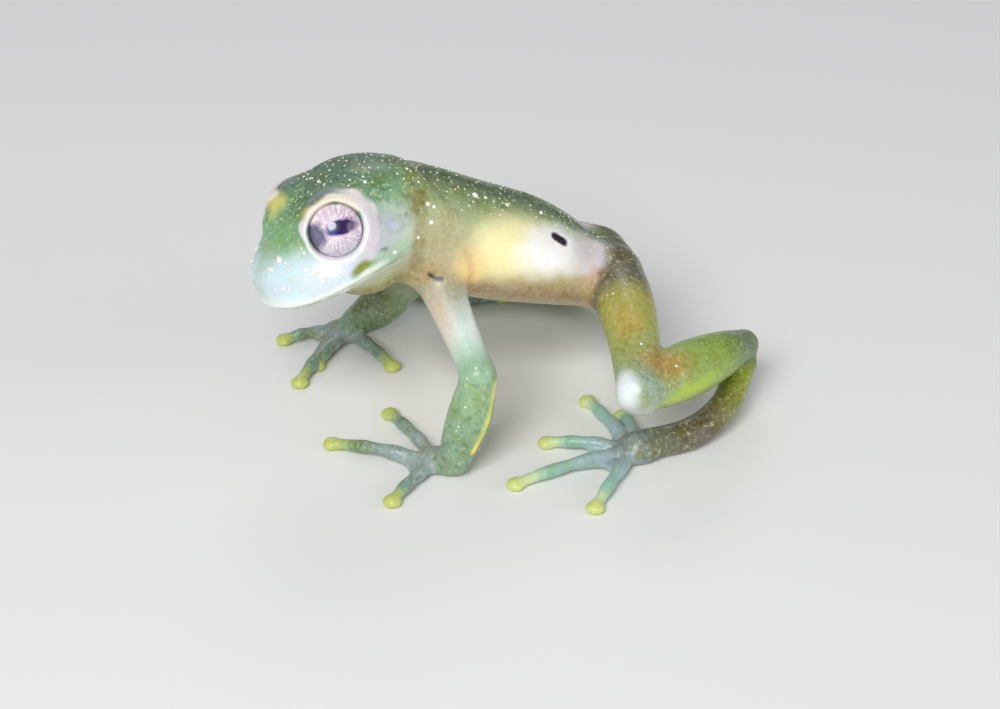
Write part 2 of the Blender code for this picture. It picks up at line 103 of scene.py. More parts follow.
def colour(red: int, green: int, blue: int) -> tuple[float, float, float]:
    """Turn a display colour of 0 to 255 into the renderer's linear values."""
    values = []
    for part in (red, green, blue):
        share = part / 255.0
        values.append(share / 12.92 if share <= 0.04045 else ((share + 0.055) / 1.055) ** 2.4)
    return tuple(values)


def curve_through(points: Array, count: int) -> Array:
    """Read a smooth curve through the points at evenly spaced places.

    Args:
        points: Rows of x, y, z and any further values that follow the curve.
        count: How many places to read.

    Returns:
        One row for each place.
    """
    points = np.asarray(points, float)
    steps = np.linalg.norm(np.diff(points[:, :3], axis=0), axis=1)
    lengths = np.concatenate(([0.0], np.cumsum(steps)))
    before = 2.0 * points[0] - points[1]
    after = 2.0 * points[-1] - points[-2]
    padded = np.vstack([before, points, after])
    places = np.linspace(0.0, lengths[-1], count)
    index = np.clip(np.searchsorted(lengths, places, side="right") - 1, 0, len(points) - 2)
    t = ((places - lengths[index]) / (lengths[index + 1] - lengths[index]))[:, None]
    a, b, c, d = (padded[index + k] for k in range(4))
    cubic = -a + 3.0 * b - 3.0 * c + d
    square = 2.0 * a - 5.0 * b + 4.0 * c - d
    return 0.5 * (2.0 * b + (c - a) * t + square * t**2 + cubic * t**3)


@dataclass
class ClosedShape:
    """A closed surface of quads and triangles, in millimetres."""

    points: Array
    quads: Array
    triangles: Array

    @classmethod
    def from_rings(cls, rings: Array, first: Array, last: Array) -> "ClosedShape":
        """Close a stack of rings with a fan at each end.

        Args:
            rings: Ring, point and coordinate.
            first: The pole before the first ring.
            last: The pole after the last ring.

        Returns:
            The closed surface.
        """
        rows, sides, _ = rings.shape
        points = np.vstack([rings.reshape(-1, 3), first, last])
        here = np.arange(sides)
        after = (here + 1) % sides
        base = (np.arange(rows - 1) * sides)[:, None]
        quads = np.stack([base + here, base + after, base + sides + after,
                          base + sides + here], -1).reshape(-1, 4)
        end = (rows - 1) * sides
        fan_a = np.stack([np.full(sides, rows * sides), after, here], -1)
        fan_b = np.stack([np.full(sides, rows * sides + 1), end + here, end + after], -1)
        return cls(points, quads, np.vstack([fan_a, fan_b]))

    @classmethod
    def from_folded_rings(cls, rings: Array) -> "ClosedShape":
        """Close a stack of two-sided rings by joining left and right straight across."""
        rows, sides, _ = rings.shape
        shape = cls.from_rings(rings, rings[0, 0], rings[-1, 0])
        here = np.arange(sides // 2 - 1)
        quads, triangles = [shape.quads], []
        for low, flip in ((0, 1), ((rows - 1) * sides, -1)):
            last, middle = low + sides - 1, low + sides // 2
            cap = np.stack([low + here, last - here, last - here - 1, low + here + 1], -1)
            quads.append(cap[:, ::flip])
            triangles.append([middle - 1, middle + 1, middle][::flip])
        return cls(rings.reshape(-1, 3), np.vstack(quads), np.array(triangles))


def tube(stations: Array, steps: int, sides: int = 40,
         shape: tuple[float, float] = (1.0, 1.0), up: Point = (0.0, 0.0, 1.0),
         cap_rings: int = 6) -> ClosedShape:
    """Sweep an oval along stations and round both ends off.

    Args:
        stations: Rows of x, y, z and radius.
        steps: How many rings the sweep has.
        sides: How many points a ring has.
        shape: The oval's half sizes across and along the up direction, times the radius.
        up: The direction that the second half size follows.
        cap_rings: How many rings round off each end.

    Returns:
        The closed surface.
    """
    line = curve_through(stations, steps)
    centres, radii = line[:, :3], line[:, 3]
    tangents = np.gradient(centres, axis=0)
    tangents /= np.linalg.norm(tangents, axis=1)[:, None]
    caps = 0.5 * math.pi * np.arange(cap_rings, 0, -1) / (cap_rings + 1)
    head = [(centres[0] - tangents[0] * radii[0] * math.sin(a), tangents[0],
             radii[0] * math.cos(a)) for a in caps]
    tail = [(centres[-1] + tangents[-1] * radii[-1] * math.sin(a), tangents[-1],
             radii[-1] * math.cos(a)) for a in caps[::-1]]
    turns = np.arange(sides) * 2.0 * math.pi / sides
    rings = []
    for centre, tangent, radius in [*head, *zip(centres, tangents, radii), *tail]:
        across = unit(np.cross(tangent, up))
        high = np.cross(across, tangent)
        rings.append(centre + radius * (shape[0] * np.cos(turns)[:, None] * across
                                        + shape[1] * np.sin(turns)[:, None] * high))
    return ClosedShape.from_rings(np.array(rings), centres[0] - tangents[0] * radii[0],
                                  centres[-1] + tangents[-1] * radii[-1])


def ellipsoid(centre: Array, size: Point, axes: Array | None = None, rows: int = 25,
              turns: int = 48) -> ClosedShape:
    """Make an ellipsoid with half sizes along the given axes."""
    turned = np.eye(3) if axes is None else np.asarray(axes)
    polar = np.linspace(0.0, math.pi, rows + 1)[1:-1, None, None]
    turn = np.arange(turns)[None, :, None] * 2.0 * math.pi / turns
    rings = (np.asarray(centre) + size[0] * np.sin(polar) * np.cos(turn) * turned[0]
             + size[1] * np.sin(polar) * np.sin(turn) * turned[1]
             - size[2] * np.cos(polar) * turned[2])
    return ClosedShape.from_rings(rings, centre - size[2] * turned[2],
                                  centre + size[2] * turned[2])


@dataclass
class Volume:
    """A block of signed distances in millimetres, negative inside the frog."""

    low: Point
    high: Point
    voxel: float = 0.1
    band: int = 14
    line_step: float = 0.35
    values: Array = field(init=False)

    def __post_init__(self) -> None:
        """Fill the block with the largest distance that it keeps."""
        counts = [int(math.ceil((b - a) / self.voxel)) for a, b in zip(self.low, self.high)]
        self.values = np.full(counts, self.band * self.voxel, np.float32)

    def window(self, low: Array, high: Array) -> tuple[slice, slice, slice]:
        """Return the slices that hold the box from low to high."""
        first = np.floor((np.asarray(low) - self.low) / self.voxel).astype(int)
        last = np.ceil((np.asarray(high) - self.low) / self.voxel).astype(int) + 1
        return tuple(slice(max(0, a), min(n, b))
                     for a, b, n in zip(first, last, self.values.shape))

    def grid(self, window: tuple[slice, slice, slice]) -> tuple[Array, Array, Array]:
        """Return the x, y and z of the voxels in a window, ready to broadcast."""
        axes = [a + self.voxel * np.arange(s.start, s.stop, dtype=np.float32)
                for a, s in zip(self.low, window)]
        return axes[0][:, None, None], axes[1][None, :, None], axes[2][None, None, :]

    def distances(self, shape: ClosedShape) -> tuple[tuple[slice, slice, slice], Array]:
        """Return the window round a closed shape and the distances to it there."""
        reach = self.band * self.voxel
        window = self.window(shape.points.min(0) - reach, shape.points.max(0) + reach)
        grid = openvdb.FloatGrid.createLevelSetFromPolygons(
            ((shape.points - self.low) / self.voxel).astype(np.float32),
            triangles=shape.triangles.astype(np.uint32), quads=shape.quads.astype(np.uint32),
            transform=openvdb.createLinearTransform(voxelSize=1.0), halfWidth=float(self.band))
        values = np.zeros([s.stop - s.start for s in window], np.float32)
        grid.copyToArray(values, ijk=tuple(s.start for s in window))
        return window, values * self.voxel

    def add(self, shape: ClosedShape, blend: float) -> None:
        """Fuse a closed shape with what is there, rounding the join by the blend length."""
        window, values = self.distances(shape)
        self.values[window] = fuse(self.values[window], values, blend)

    def read(self, points: Array) -> Array:
        """Return the stored distance at each point, mixed from the eight voxels round it."""
        place = (points - np.asarray(self.low)) / self.voxel
        place = np.clip(place, 0.0, np.array(self.values.shape) - 1.001)
        base = place.astype(int)
        part = place - base
        total = np.zeros(len(points))
        for corner in np.ndindex(2, 2, 2):
            weight = np.prod(np.where(corner, part, 1.0 - part), axis=1)
            total += weight * self.values[tuple((base + corner).T)]
        return total

    def facing(self, points: Array) -> Array:
        """Return the direction out of the surface at each point."""
        step = 1.5 * self.voxel
        slopes = [self.read(points + step * axis) - self.read(points - step * axis)
                  for axis in np.eye(3)]
        slopes = np.stack(slopes, 1)
        return slopes / np.linalg.norm(slopes, axis=1)[:, None].clip(1e-6)

    def snap(self, points: Array) -> Array:
        """Move points onto the surface."""
        points = np.atleast_2d(np.asarray(points, float))
        for _ in range(4):
            points = points - self.read(points)[:, None] * self.facing(points)
        return points

    def blur(self, passes: int) -> None:
        """Soften the surface by averaging each voxel with its neighbours."""
        for _ in range(passes):
            for axis in range(3):
                before, after = np.roll(self.values, 1, axis), np.roll(self.values, -1, axis)
                self.values = 0.5 * self.values + 0.25 * (before + after)

    def emboss(self, line: Array, width: float, height: float) -> None:
        """Raise a soft ridge along a line on the surface, or sink a crease if it is negative."""
        length = np.linalg.norm(np.diff(line, axis=0), axis=1).sum()
        steps = max(2, int(length / self.line_step))
        line = self.snap(curve_through(self.snap(line), steps)) if len(line) > 1 else self.snap(line)
        window = self.window(line.min(0) - 3.0 * width, line.max(0) + 3.0 * width)
        x, y, z = self.grid(window)
        gap = np.full([s.stop - s.start for s in window], np.inf, np.float32)
        for start, end in zip(line, np.vstack([line[1:], line[-1:]])):
            run = end - start
            along = (x - start[0]) * run[0] + (y - start[1]) * run[1] + (z - start[2]) * run[2]
            share = np.clip(along / max(run @ run, 1e-9), 0.0, 1.0)
            away = ((x - start[0] - share * run[0]) ** 2 + (y - start[1] - share * run[1]) ** 2
                    + (z - start[2] - share * run[2]) ** 2)
            gap = np.minimum(gap, away)
        self.values[window] -= height * np.exp(-gap / width**2)

    def surface(self) -> tuple[Array, Array]:
        """Return the points and quads of the surface where the distance is zero."""
        grid = openvdb.FloatGrid(self.band * self.voxel)
        grid.copyFromArray(self.values, tolerance=0.0)
        points, quads = grid.convertToQuads(0.0)
        return points * self.voxel + np.asarray(self.low), quads.astype(int)


def fuse(first: Array, second: Array, blend: float) -> Array:
    """Return the smooth union of two distances."""
    share = np.clip(0.5 + 0.5 * (second - first) / blend, 0.0, 1.0)
    return second * (1.0 - share) + first * share - blend * share * (1.0 - share)


def carve(first: Array, second: Array, blend: float) -> Array:
    """Return the first distance with the second one's inside taken out."""
    return -fuse(-first, second, blend)


@dataclass
class Trunk:
    """The body from the neck to the vent."""

    stations: tuple = (  # x, y, top, bottom, half width
        (-4.6, -0.9, 15.0, 13.2, 1.0),
        (-3.3, -0.6, 16.2, 11.8, 2.7),
        (-1.5, -0.3, 17.05, 10.4, 3.8),
        (1.0, -0.1, 16.8, 9.1, 4.2),
        (3.5, 0.0, 15.95, 8.0, 4.5),
        (6.5, 0.1, 14.5, 7.1, 4.7),
        (9.5, 0.1, 13.2, 6.4, 4.5),
        (12.0, 0.0, 11.6, 5.9, 3.9),
        (14.2, 0.0, 9.6, 5.6, 3.1),
        (16.0, 0.0, 8.0, 5.6, 2.2),
        (17.0, 0.0, 7.3, 5.9, 1.4),
    )
    rings: int = 60
    sides: int = 96

    def rows(self) -> Array:
        """Return x, y, top, bottom and half width at evenly spaced rings."""
        rows = [(x, 0.0, 0.0, y, top, bottom, width)
                for x, y, top, bottom, width in self.stations]
        return curve_through(rows, self.rings)[:, [0, 3, 4, 5, 6]]

    def shape(self) -> ClosedShape:
        """Return the trunk as a closed shape."""
        rows = self.rows()
        turns = np.arange(self.sides) * 2.0 * math.pi / self.sides
        x, y, top, bottom, width = (rows[:, k, None] for k in range(5))
        rings = np.stack(np.broadcast_arrays(
            x, y + width * np.cos(turns),
            0.5 * (top + bottom) + 0.5 * (top - bottom) * np.sin(turns)), -1)
        ends = [np.array((r[0], r[1], 0.5 * (r[2] + r[3]))) for r in (rows[0], rows[-1])]
        return ClosedShape.from_rings(rings, ends[0], ends[1] + (0.5, 0.0, 0.0))

    def measure(self, points: Array) -> Array:
        """Return each point's angle, from -90 at the belly to 90 on the back."""
        rows = self.rows()
        y, top, bottom, width = (np.interp(points[:, 0], rows[:, 0], rows[:, k])
                                 for k in range(1, 5))
        high = (points[:, 2] - 0.5 * (top + bottom)) / (0.5 * (top - bottom))
        side = (points[:, 1] - y) / width
        return np.degrees(np.arctan2(high, np.abs(side)))


@dataclass
class Head:
    """The head, with its lips, nostrils, lids and eye sockets."""

    centre: Point = (-4.66, -1.34, 14.24)
    yaw: float = 15.0
    roll: float = 13.5
    pitch: float = 13.0
    widest: float = -0.8
    back: float = -6.6
    snout_end: float = 5.0
    slope_length: float = 6.5
    levels: tuple = (  # reach ahead of the eyes, half width, heights at snout and neck, arch
        (2.4, 1.5, -3.75, -4.30, 0.0),
        (3.9, 2.9, -3.80, -3.85, 0.0),
        (4.6, 3.7, -3.74, -3.50, 0.0),
        (4.9, 4.1, -3.62, -3.25, 0.0),
        (5.1, 4.38, -3.36, -2.90, 0.0),
        (5.1, 4.48, -2.70, -2.20, 0.0),
        (5.12, 4.3, -1.90, -1.10, 0.0),
        (4.9, 3.85, -1.15, 0.20, 0.25),
        (4.15, 3.2, -0.50, 1.15, 0.7),
        (2.9, 1.9, 0.20, 1.55, 1.0),
        (1.7, 0.85, 0.72, 1.74, 1.0),
    )
    arch_rise: float = 1.15
    arch_top: float = -2.4
    arch_front: float = 3.4
    arch_rear: float = 3.3
    throat: Point = (-1.8, 0.0, -4.0)
    throat_size: Point = (2.3, 3.2, 1.65)
    front_share: float = 0.62
    front_power: float = 0.85
    side_power: float = 0.92
    neck_pinch: float = 0.14
    level_rings: int = 70
    ring_points: int = 121
    mouth_heights: tuple[float, float] = (-3.50, -3.12)
    mouth_corner: float = -2.6
    mouth_depth: float = 0.16
    mouth_width: float = 0.09
    lip_rise: float = 0.06
    lip_offset: float = 0.30
    lip_width: float = 0.16
    eye_offset: float = 2.65
    eye_radius: float = 1.9
    eye_aim: Point = (0.35, 0.88, 0.30)
    lid_radius: float = 2.42
    opening: float = 1.77
    opening_flare: float = 0.12
    lid_blend: float = 0.22
    rim_radius: float = 0.15
    rim_gap: float = 0.07
    nostril: Point = (4.75, 1.0, -1.2)
    nostril_depth: float = 0.30
    nostril_radius: float = 0.16
    nostril_rim: float = 0.10
    nostril_rim_radius: float = 0.38

    def axes(self) -> Array:
        """Return the head's forward, left and up directions as rows."""
        yaw, roll, pitch = (math.radians(a) for a in (self.yaw, self.roll, self.pitch))
        forward = np.array((-math.cos(yaw), -math.sin(yaw), 0.0))
        left = np.array((math.sin(yaw), -math.cos(yaw), 0.0))
        up = np.array((0.0, 0.0, 1.0))
        left, up = (math.cos(roll) * left + math.sin(roll) * up,
                    math.cos(roll) * up - math.sin(roll) * left)
        forward, up = (math.cos(pitch) * forward - math.sin(pitch) * up,
                       math.cos(pitch) * up + math.sin(pitch) * forward)
        return np.array((forward, left, up))

    def place(self, ahead: Array, left: Array, up: Array) -> Array:
        """Turn head measures into points in the frog's own frame."""
        measures = np.stack(np.broadcast_arrays(ahead, left, up), -1)
        return np.asarray(self.centre) + measures @ self.axes()

    def slope(self, ahead: Array) -> Array:
        """Return 0 at the snout and 1 at the neck."""
        share = np.clip((self.snout_end - ahead) / self.slope_length, 0.0, 1.0)
        return share**2 * (3.0 - 2.0 * share)

    def arch(self, ahead: Array) -> Array:
        """Return how far the crown rises at a distance ahead of the eyes."""
        front = np.maximum(0.0, 1.0 - ((ahead - self.arch_top) / self.arch_front) ** 2)
        rear = self.arch_rise - ((ahead - self.arch_top) / self.arch_rear) ** 2
        return np.where(ahead > self.arch_top, self.arch_rise * front, rear)

    def shape(self) -> ClosedShape:
        """Return the head, without its eyes, as a closed shape."""
        levels = np.asarray(self.levels)
        keys = np.column_stack([np.arange(len(levels)), np.zeros((len(levels), 2)), levels])
        rows = curve_through(keys, self.level_rings)[:, 3:]
        share = np.linspace(-1.0, 1.0, self.ring_points)
        size = np.abs(share)
        turn = 0.5 * math.pi * np.minimum(size / self.front_share, 1.0)
        run = np.maximum(0.0, (size - self.front_share) / (1.0 - self.front_share))
        rings = []
        for reach, width, front, back, rise in rows:
            ahead = (self.widest
                     + (reach - self.widest) * np.cos(turn).clip(0.0) ** self.front_power
                     + (self.back - self.widest) * run)
            side = width * np.sin(turn) ** self.side_power * (1.0 - self.neck_pinch * run**2)
            height = front + (back - front) * self.slope(ahead) + rise * self.arch(ahead)
            rings.append(self.place(ahead, np.copysign(side, share), height))
        return ClosedShape.from_folded_rings(np.array(rings))

    def measure(self, points: Array) -> Array:
        """Return each point's distance ahead, to the left and up from between the eyes."""
        return (points - np.asarray(self.centre)) @ self.axes().T

    def eye_centre(self, side: Side) -> Array:
        """Return the middle of one eye."""
        return self.place(0.0, side.sign * self.eye_offset, 0.0)

    def eye_axes(self, side: Side) -> Array:
        """Return directions across, up and out of one eye as rows."""
        forward, left, up = self.axes()
        out = unit(self.eye_aim[0] * forward + side.sign * self.eye_aim[1] * left
                   + self.eye_aim[2] * up)
        across = unit(np.cross(up, out))
        return np.array((across, np.cross(out, across), out))

    def carve_details(self, volume: Volume) -> None:
        """Cut the eye openings, mouth line and nostrils and raise the lids' rims."""
        for side in Side:
            self.open_lids(volume, side)
        centre = np.asarray(self.centre)
        window = volume.window(centre - 7.5, centre + 7.5)
        x, y, z = volume.grid(window)
        axes = self.axes()
        ahead, left, up = ((x - centre[0]) * a[0] + (y - centre[1]) * a[1]
                           + (z - centre[2]) * a[2] for a in axes)
        front, back = self.mouth_heights
        level = front + (back - front) * self.slope(ahead)
        along = ease(ahead, self.mouth_corner - 0.4, self.mouth_corner + 0.3)
        values = volume.values[window]
        values += self.mouth_depth * along * np.exp(-((up - level) / self.mouth_width) ** 2)
        above = (up - level - self.lip_offset) / self.lip_width
        values -= self.lip_rise * along * np.exp(-above**2)
        for side in Side:
            spot = [self.nostril[0], side.sign * self.nostril[1], self.nostril[2]]
            gap = np.sqrt((ahead - spot[0]) ** 2 + (left - spot[1]) ** 2 + (up - spot[2]) ** 2)
            values += (self.nostril_depth * np.exp(-(gap / self.nostril_radius) ** 2)
                       - self.nostril_rim * np.exp(-(gap / self.nostril_rim_radius) ** 2))
        volume.values[window] = values

    def open_lids(self, volume: Volume, side: Side) -> None:
        """Cut one eye's socket and opening, with a raised rim round it."""
        centre = self.eye_centre(side)
        axes = self.eye_axes(side)
        window = volume.window(centre - 3.4, centre + 3.4)
        x, y, z = volume.grid(window)
        across, upward, out = ((x - centre[0]) * a[0] + (y - centre[1]) * a[1]
                               + (z - centre[2]) * a[2] for a in axes)
        gap = np.sqrt(across**2 + upward**2 + out**2)
        radial = np.sqrt(across**2 + (upward / 0.97) ** 2)
        values = volume.values[window]
        flare = 1.0 + self.opening_flare * (out - 1.2)
        tunnel = np.maximum(radial - self.opening * flare, 0.3 - out)
        values = carve(values, tunnel, self.lid_blend)
        rim_out = math.sqrt((self.eye_radius + 0.1) ** 2 - self.opening**2)
        ring = np.sqrt((radial - self.opening - self.rim_gap) ** 2 + (out - rim_out) ** 2)
        values = fuse(values, ring - self.rim_radius, self.lid_blend)
        volume.values[window] = carve(values, gap - self.eye_radius + 0.03, 0.03)


@dataclass
class Limb:
    """One arm or leg: its joints, the segments between them and its hand or foot."""

    side: Side
    joints: dict[str, Point]
    segments: tuple
    digits: tuple
    pad: str
    pad_size: Point
    webs: tuple
    digit_radius: tuple = (0.48, 0.39, 0.46, 0.37, 0.43, 0.35, 0.37)
    digit_arch: float = 0.25
    disc_radius: float = 0.62
    disc_half: float = 0.36
    sink: float = 0.06
    web_half: float = 0.17
    web_hollow: float = 0.35
    web_height: float = 0.3
    pad_blend: float = 0.7
    digit_blend: float = 0.3
    disc_blend: float = 0.2
    web_blend: float = 0.25

    def stations(self, first: str, last: str, bow: Point, radii: tuple) -> Array:
        """Return rows of x, y, z and radius along one segment."""
        start, end = np.asarray(self.joints[first]), np.asarray(self.joints[last])
        offset = np.asarray(bow) * (1.0, self.side.sign, 1.0)
        rows = []
        for k, radius in enumerate(radii):
            share = k / (len(radii) - 1)
            rows.append((*(start + (end - start) * share + offset * 4.0 * share * (1.0 - share)),
                         radius))
        return np.array(rows)

    def digit_stations(self, base: tuple, tip: tuple) -> Array:
        """Return rows of x, y, z and radius along one finger or toe."""
        start = np.array((base[0], base[1], self.digit_radius[0] - self.sink))
        end = np.array((tip[0], tip[1], self.disc_half - self.sink))
        rows = []
        for k, radius in enumerate(self.digit_radius):
            share = k / (len(self.digit_radius) - 1)
            centre = start + (end - start) * share
            rows.append((centre[0], centre[1],
                         centre[2] + self.digit_arch * 4.0 * share * (1.0 - share), radius))
        return np.array(rows)

    def add_to(self, volume: Volume) -> None:
        """Fuse the whole limb with the volume."""
        for first, last, bow, radii, blend in self.segments:
            volume.add(tube(self.stations(first, last, bow, radii), 40), blend)
        middle = self.joints[self.pad]
        centre = np.array((middle[0], middle[1], self.pad_size[2] - self.sink))
        volume.add(ellipsoid(centre, self.pad_size), self.pad_blend)
        for base, tip in self.digits:
            volume.add(tube(self.digit_stations(base, tip), 24, 24), self.digit_blend)
            along = unit((tip[0] - base[0], tip[1] - base[1], 0.0))
            across = np.array((-along[1], along[0], 0.0))
            end = np.array((tip[0], tip[1], self.disc_half - self.sink))
            volume.add(ellipsoid(end, (self.disc_radius * 0.9, self.disc_radius, self.disc_half),
                                 (along, across, (0.0, 0.0, 1.0))), self.disc_blend)
        for first, second, reach in self.webs:
            volume.add(self.web(first, second, reach), self.web_blend)

    def measure(self, points: Array) -> tuple[Array, Array]:
        """Return each point's distance to the limb and its place along it.

        Args:
            points: The points, in millimetres.

        Returns:
            The distances, and places that run from 0 at the root to 4 at the digits' tips.
        """
        rows = []
        for order, (first, last, bow, radii, _) in enumerate(self.segments):
            line = curve_through(self.stations(first, last, bow, radii), 30)
            rows.append(np.column_stack([line, order + np.linspace(0.0, 1.0, len(line))]))
        if len(self.segments) == 2:
            rows.append(np.array([(*self.joints[self.pad], 0.6, 3.0)]))
        for base, tip in self.digits:
            line = curve_through(self.digit_stations(base, tip), 14)
            rows.append(np.column_stack([line, 3.0 + np.linspace(0.0, 1.0, len(line))]))
        rows = np.vstack(rows)
        gap = np.full(len(points), np.inf)
        place = np.zeros(len(points))
        for row in rows:
            distance = np.linalg.norm(points - row[:3], axis=1) - row[3]
            nearer = distance < gap
            gap[nearer] = distance[nearer]
            place[nearer] = row[4]
        return gap, place

    def web(self, first: int, second: int, reach: float) -> ClosedShape:
        """Return the membrane between two digits as a thin closed sheet."""
        bases = [np.asarray(self.digits[k][0]) for k in (first, second)]
        tips = [np.asarray(self.digits[k][1]) for k in (first, second)]
        root = 0.5 * (bases[0] + bases[1])
        ends = [b + (t - b) * reach for b, t in zip(bases, tips)]
        share = np.linspace(0.0, 1.0, 12)[:, None]
        edge = ends[0] + (ends[1] - ends[0]) * share
        edge = edge + (root - edge) * self.web_hollow * 4.0 * share * (1.0 - share)
        outline = np.vstack([root, edge])
        middle = outline.mean(axis=0)
        low, high = self.web_height - self.web_half, self.web_height + self.web_half
        rings = np.array([np.column_stack([outline, np.full(len(outline), z)])
                          for z in (low, high)])
        return ClosedShape.from_rings(rings, np.array((*middle, low)), np.array((*middle, high)))


ARM_SEGMENTS = (  # from, to, bow of the middle, radii, blend
    ("shoulder", "elbow", (0.0, 0.0, 0.1), (1.5, 1.3, 1.12, 1.05), 1.2),
    ("elbow", "wrist", (0.2, 0.0, 0.0), (1.02, 1.35, 1.38, 1.05), 0.5),
)
LEG_SEGMENTS = (
    ("hip", "knee", (0.3, 0.0, 0.5), (1.95, 1.85, 1.62, 1.4), 1.3),
    ("knee", "heel", (0.3, -0.3, 0.4), (1.35, 1.8, 1.55, 1.0), 0.45),
    ("ankle", "ball", (0.7, -1.5, -0.6), (1.0, 0.95, 1.0, 0.95), 0.4),
)
HAND_WEBS = ((2, 3, 0.45),)
FOOT_WEBS = ((1, 2, 0.36), (2, 3, 0.5), (3, 4, 0.43))
PALM_SIZE = (1.35, 1.25, 0.66)
BALL_SIZE = (1.25, 1.2, 0.66)

LEFT_ARM = Limb(
    Side.LEFT,
    {"shoulder": (2.3, -2.6, 10.7), "elbow": (3.6, -9.0, 6.3), "wrist": (1.8, -10.0, 1.15),
     "palm": (1.0, -9.0, 0.75)},
    ARM_SEGMENTS,
    (((1.5, -8.5), (3.9, -5.4)), ((0.8, -8.3), (-0.6, -2.4)), ((0.3, -8.7), (-5.0, -5.0)),
     ((0.4, -9.4), (-2.8, -12.5))),
    "palm", PALM_SIZE, HAND_WEBS)
RIGHT_ARM = Limb(
    Side.RIGHT,
    {"shoulder": (2.0, 2.6, 10.6), "elbow": (2.6, 7.0, 4.3), "wrist": (-0.4, 8.4, 1.35),
     "palm": (-1.4, 8.6, 0.75)},
    ARM_SEGMENTS,
    (((-0.8, 8.2), (0.9, 3.5)), ((-1.5, 8.0), (-4.0, 4.9)), ((-1.9, 8.3), (-5.5, 3.0)),
     ((-1.9, 8.9), (-5.4, 8.9))),
    "palm", PALM_SIZE, HAND_WEBS)
LEFT_LEG = Limb(
    Side.LEFT,
    {"hip": (14.6, -1.4, 7.9), "knee": (12.7, -13.3, 6.15), "heel": (22.3, -5.5, 3.8),
     "ankle": (22.1, -5.9, 2.7), "ball": (13.4, -11.2, 0.95)},
    LEG_SEGMENTS,
    (((13.7, -10.2), (13.9, -6.5)), ((13.1, -10.2), (12.2, -4.2)), ((12.6, -10.5), (8.2, -8.4)),
     ((12.5, -11.0), (5.0, -12.6)), ((12.9, -11.5), (9.0, -16.4))),
    "ball", BALL_SIZE, FOOT_WEBS)
RIGHT_LEG = Limb(
    Side.RIGHT,
    {"hip": (14.4, 1.4, 7.9), "knee": (6.2, 10.2, 4.9), "heel": (16.9, 6.4, 3.1),
     "ankle": (16.8, 6.8, 2.1), "ball": (8.4, 11.6, 0.95)},
    LEG_SEGMENTS,
    (((8.6, 11.2), (10.4, 10.8)), ((8.0, 11.3), (6.3, 9.9)), ((7.7, 11.7), (4.2, 12.9)),
     ((7.8, 12.1), (3.4, 15.6)), ((8.4, 12.3), (6.6, 18.2))),
    "ball", BALL_SIZE, FOOT_WEBS)


def add_node(tree: bpy.types.NodeTree, kind: str, values: dict | None, links: dict | None,
             settings: dict) -> bpy.types.Node:
    """Add a node to a tree, set its options and values, and link its inputs.

    Args:
        tree: The tree of a material or of Geometry Nodes.
        kind: The node's type.
        values: Constant values by input name or number.
        links: Output sockets by input name or number.
        settings: Options of the node itself, by name.

    Returns:
        The new node.
    """
    node = tree.nodes.new(kind)
    for key, value in settings.items():
        setattr(node, key, value)
    for key, value in (values or {}).items():
        node.inputs[key].default_value = value
    for key, socket in (links or {}).items():
        tree.links.new(socket, node.inputs[key])
    return node


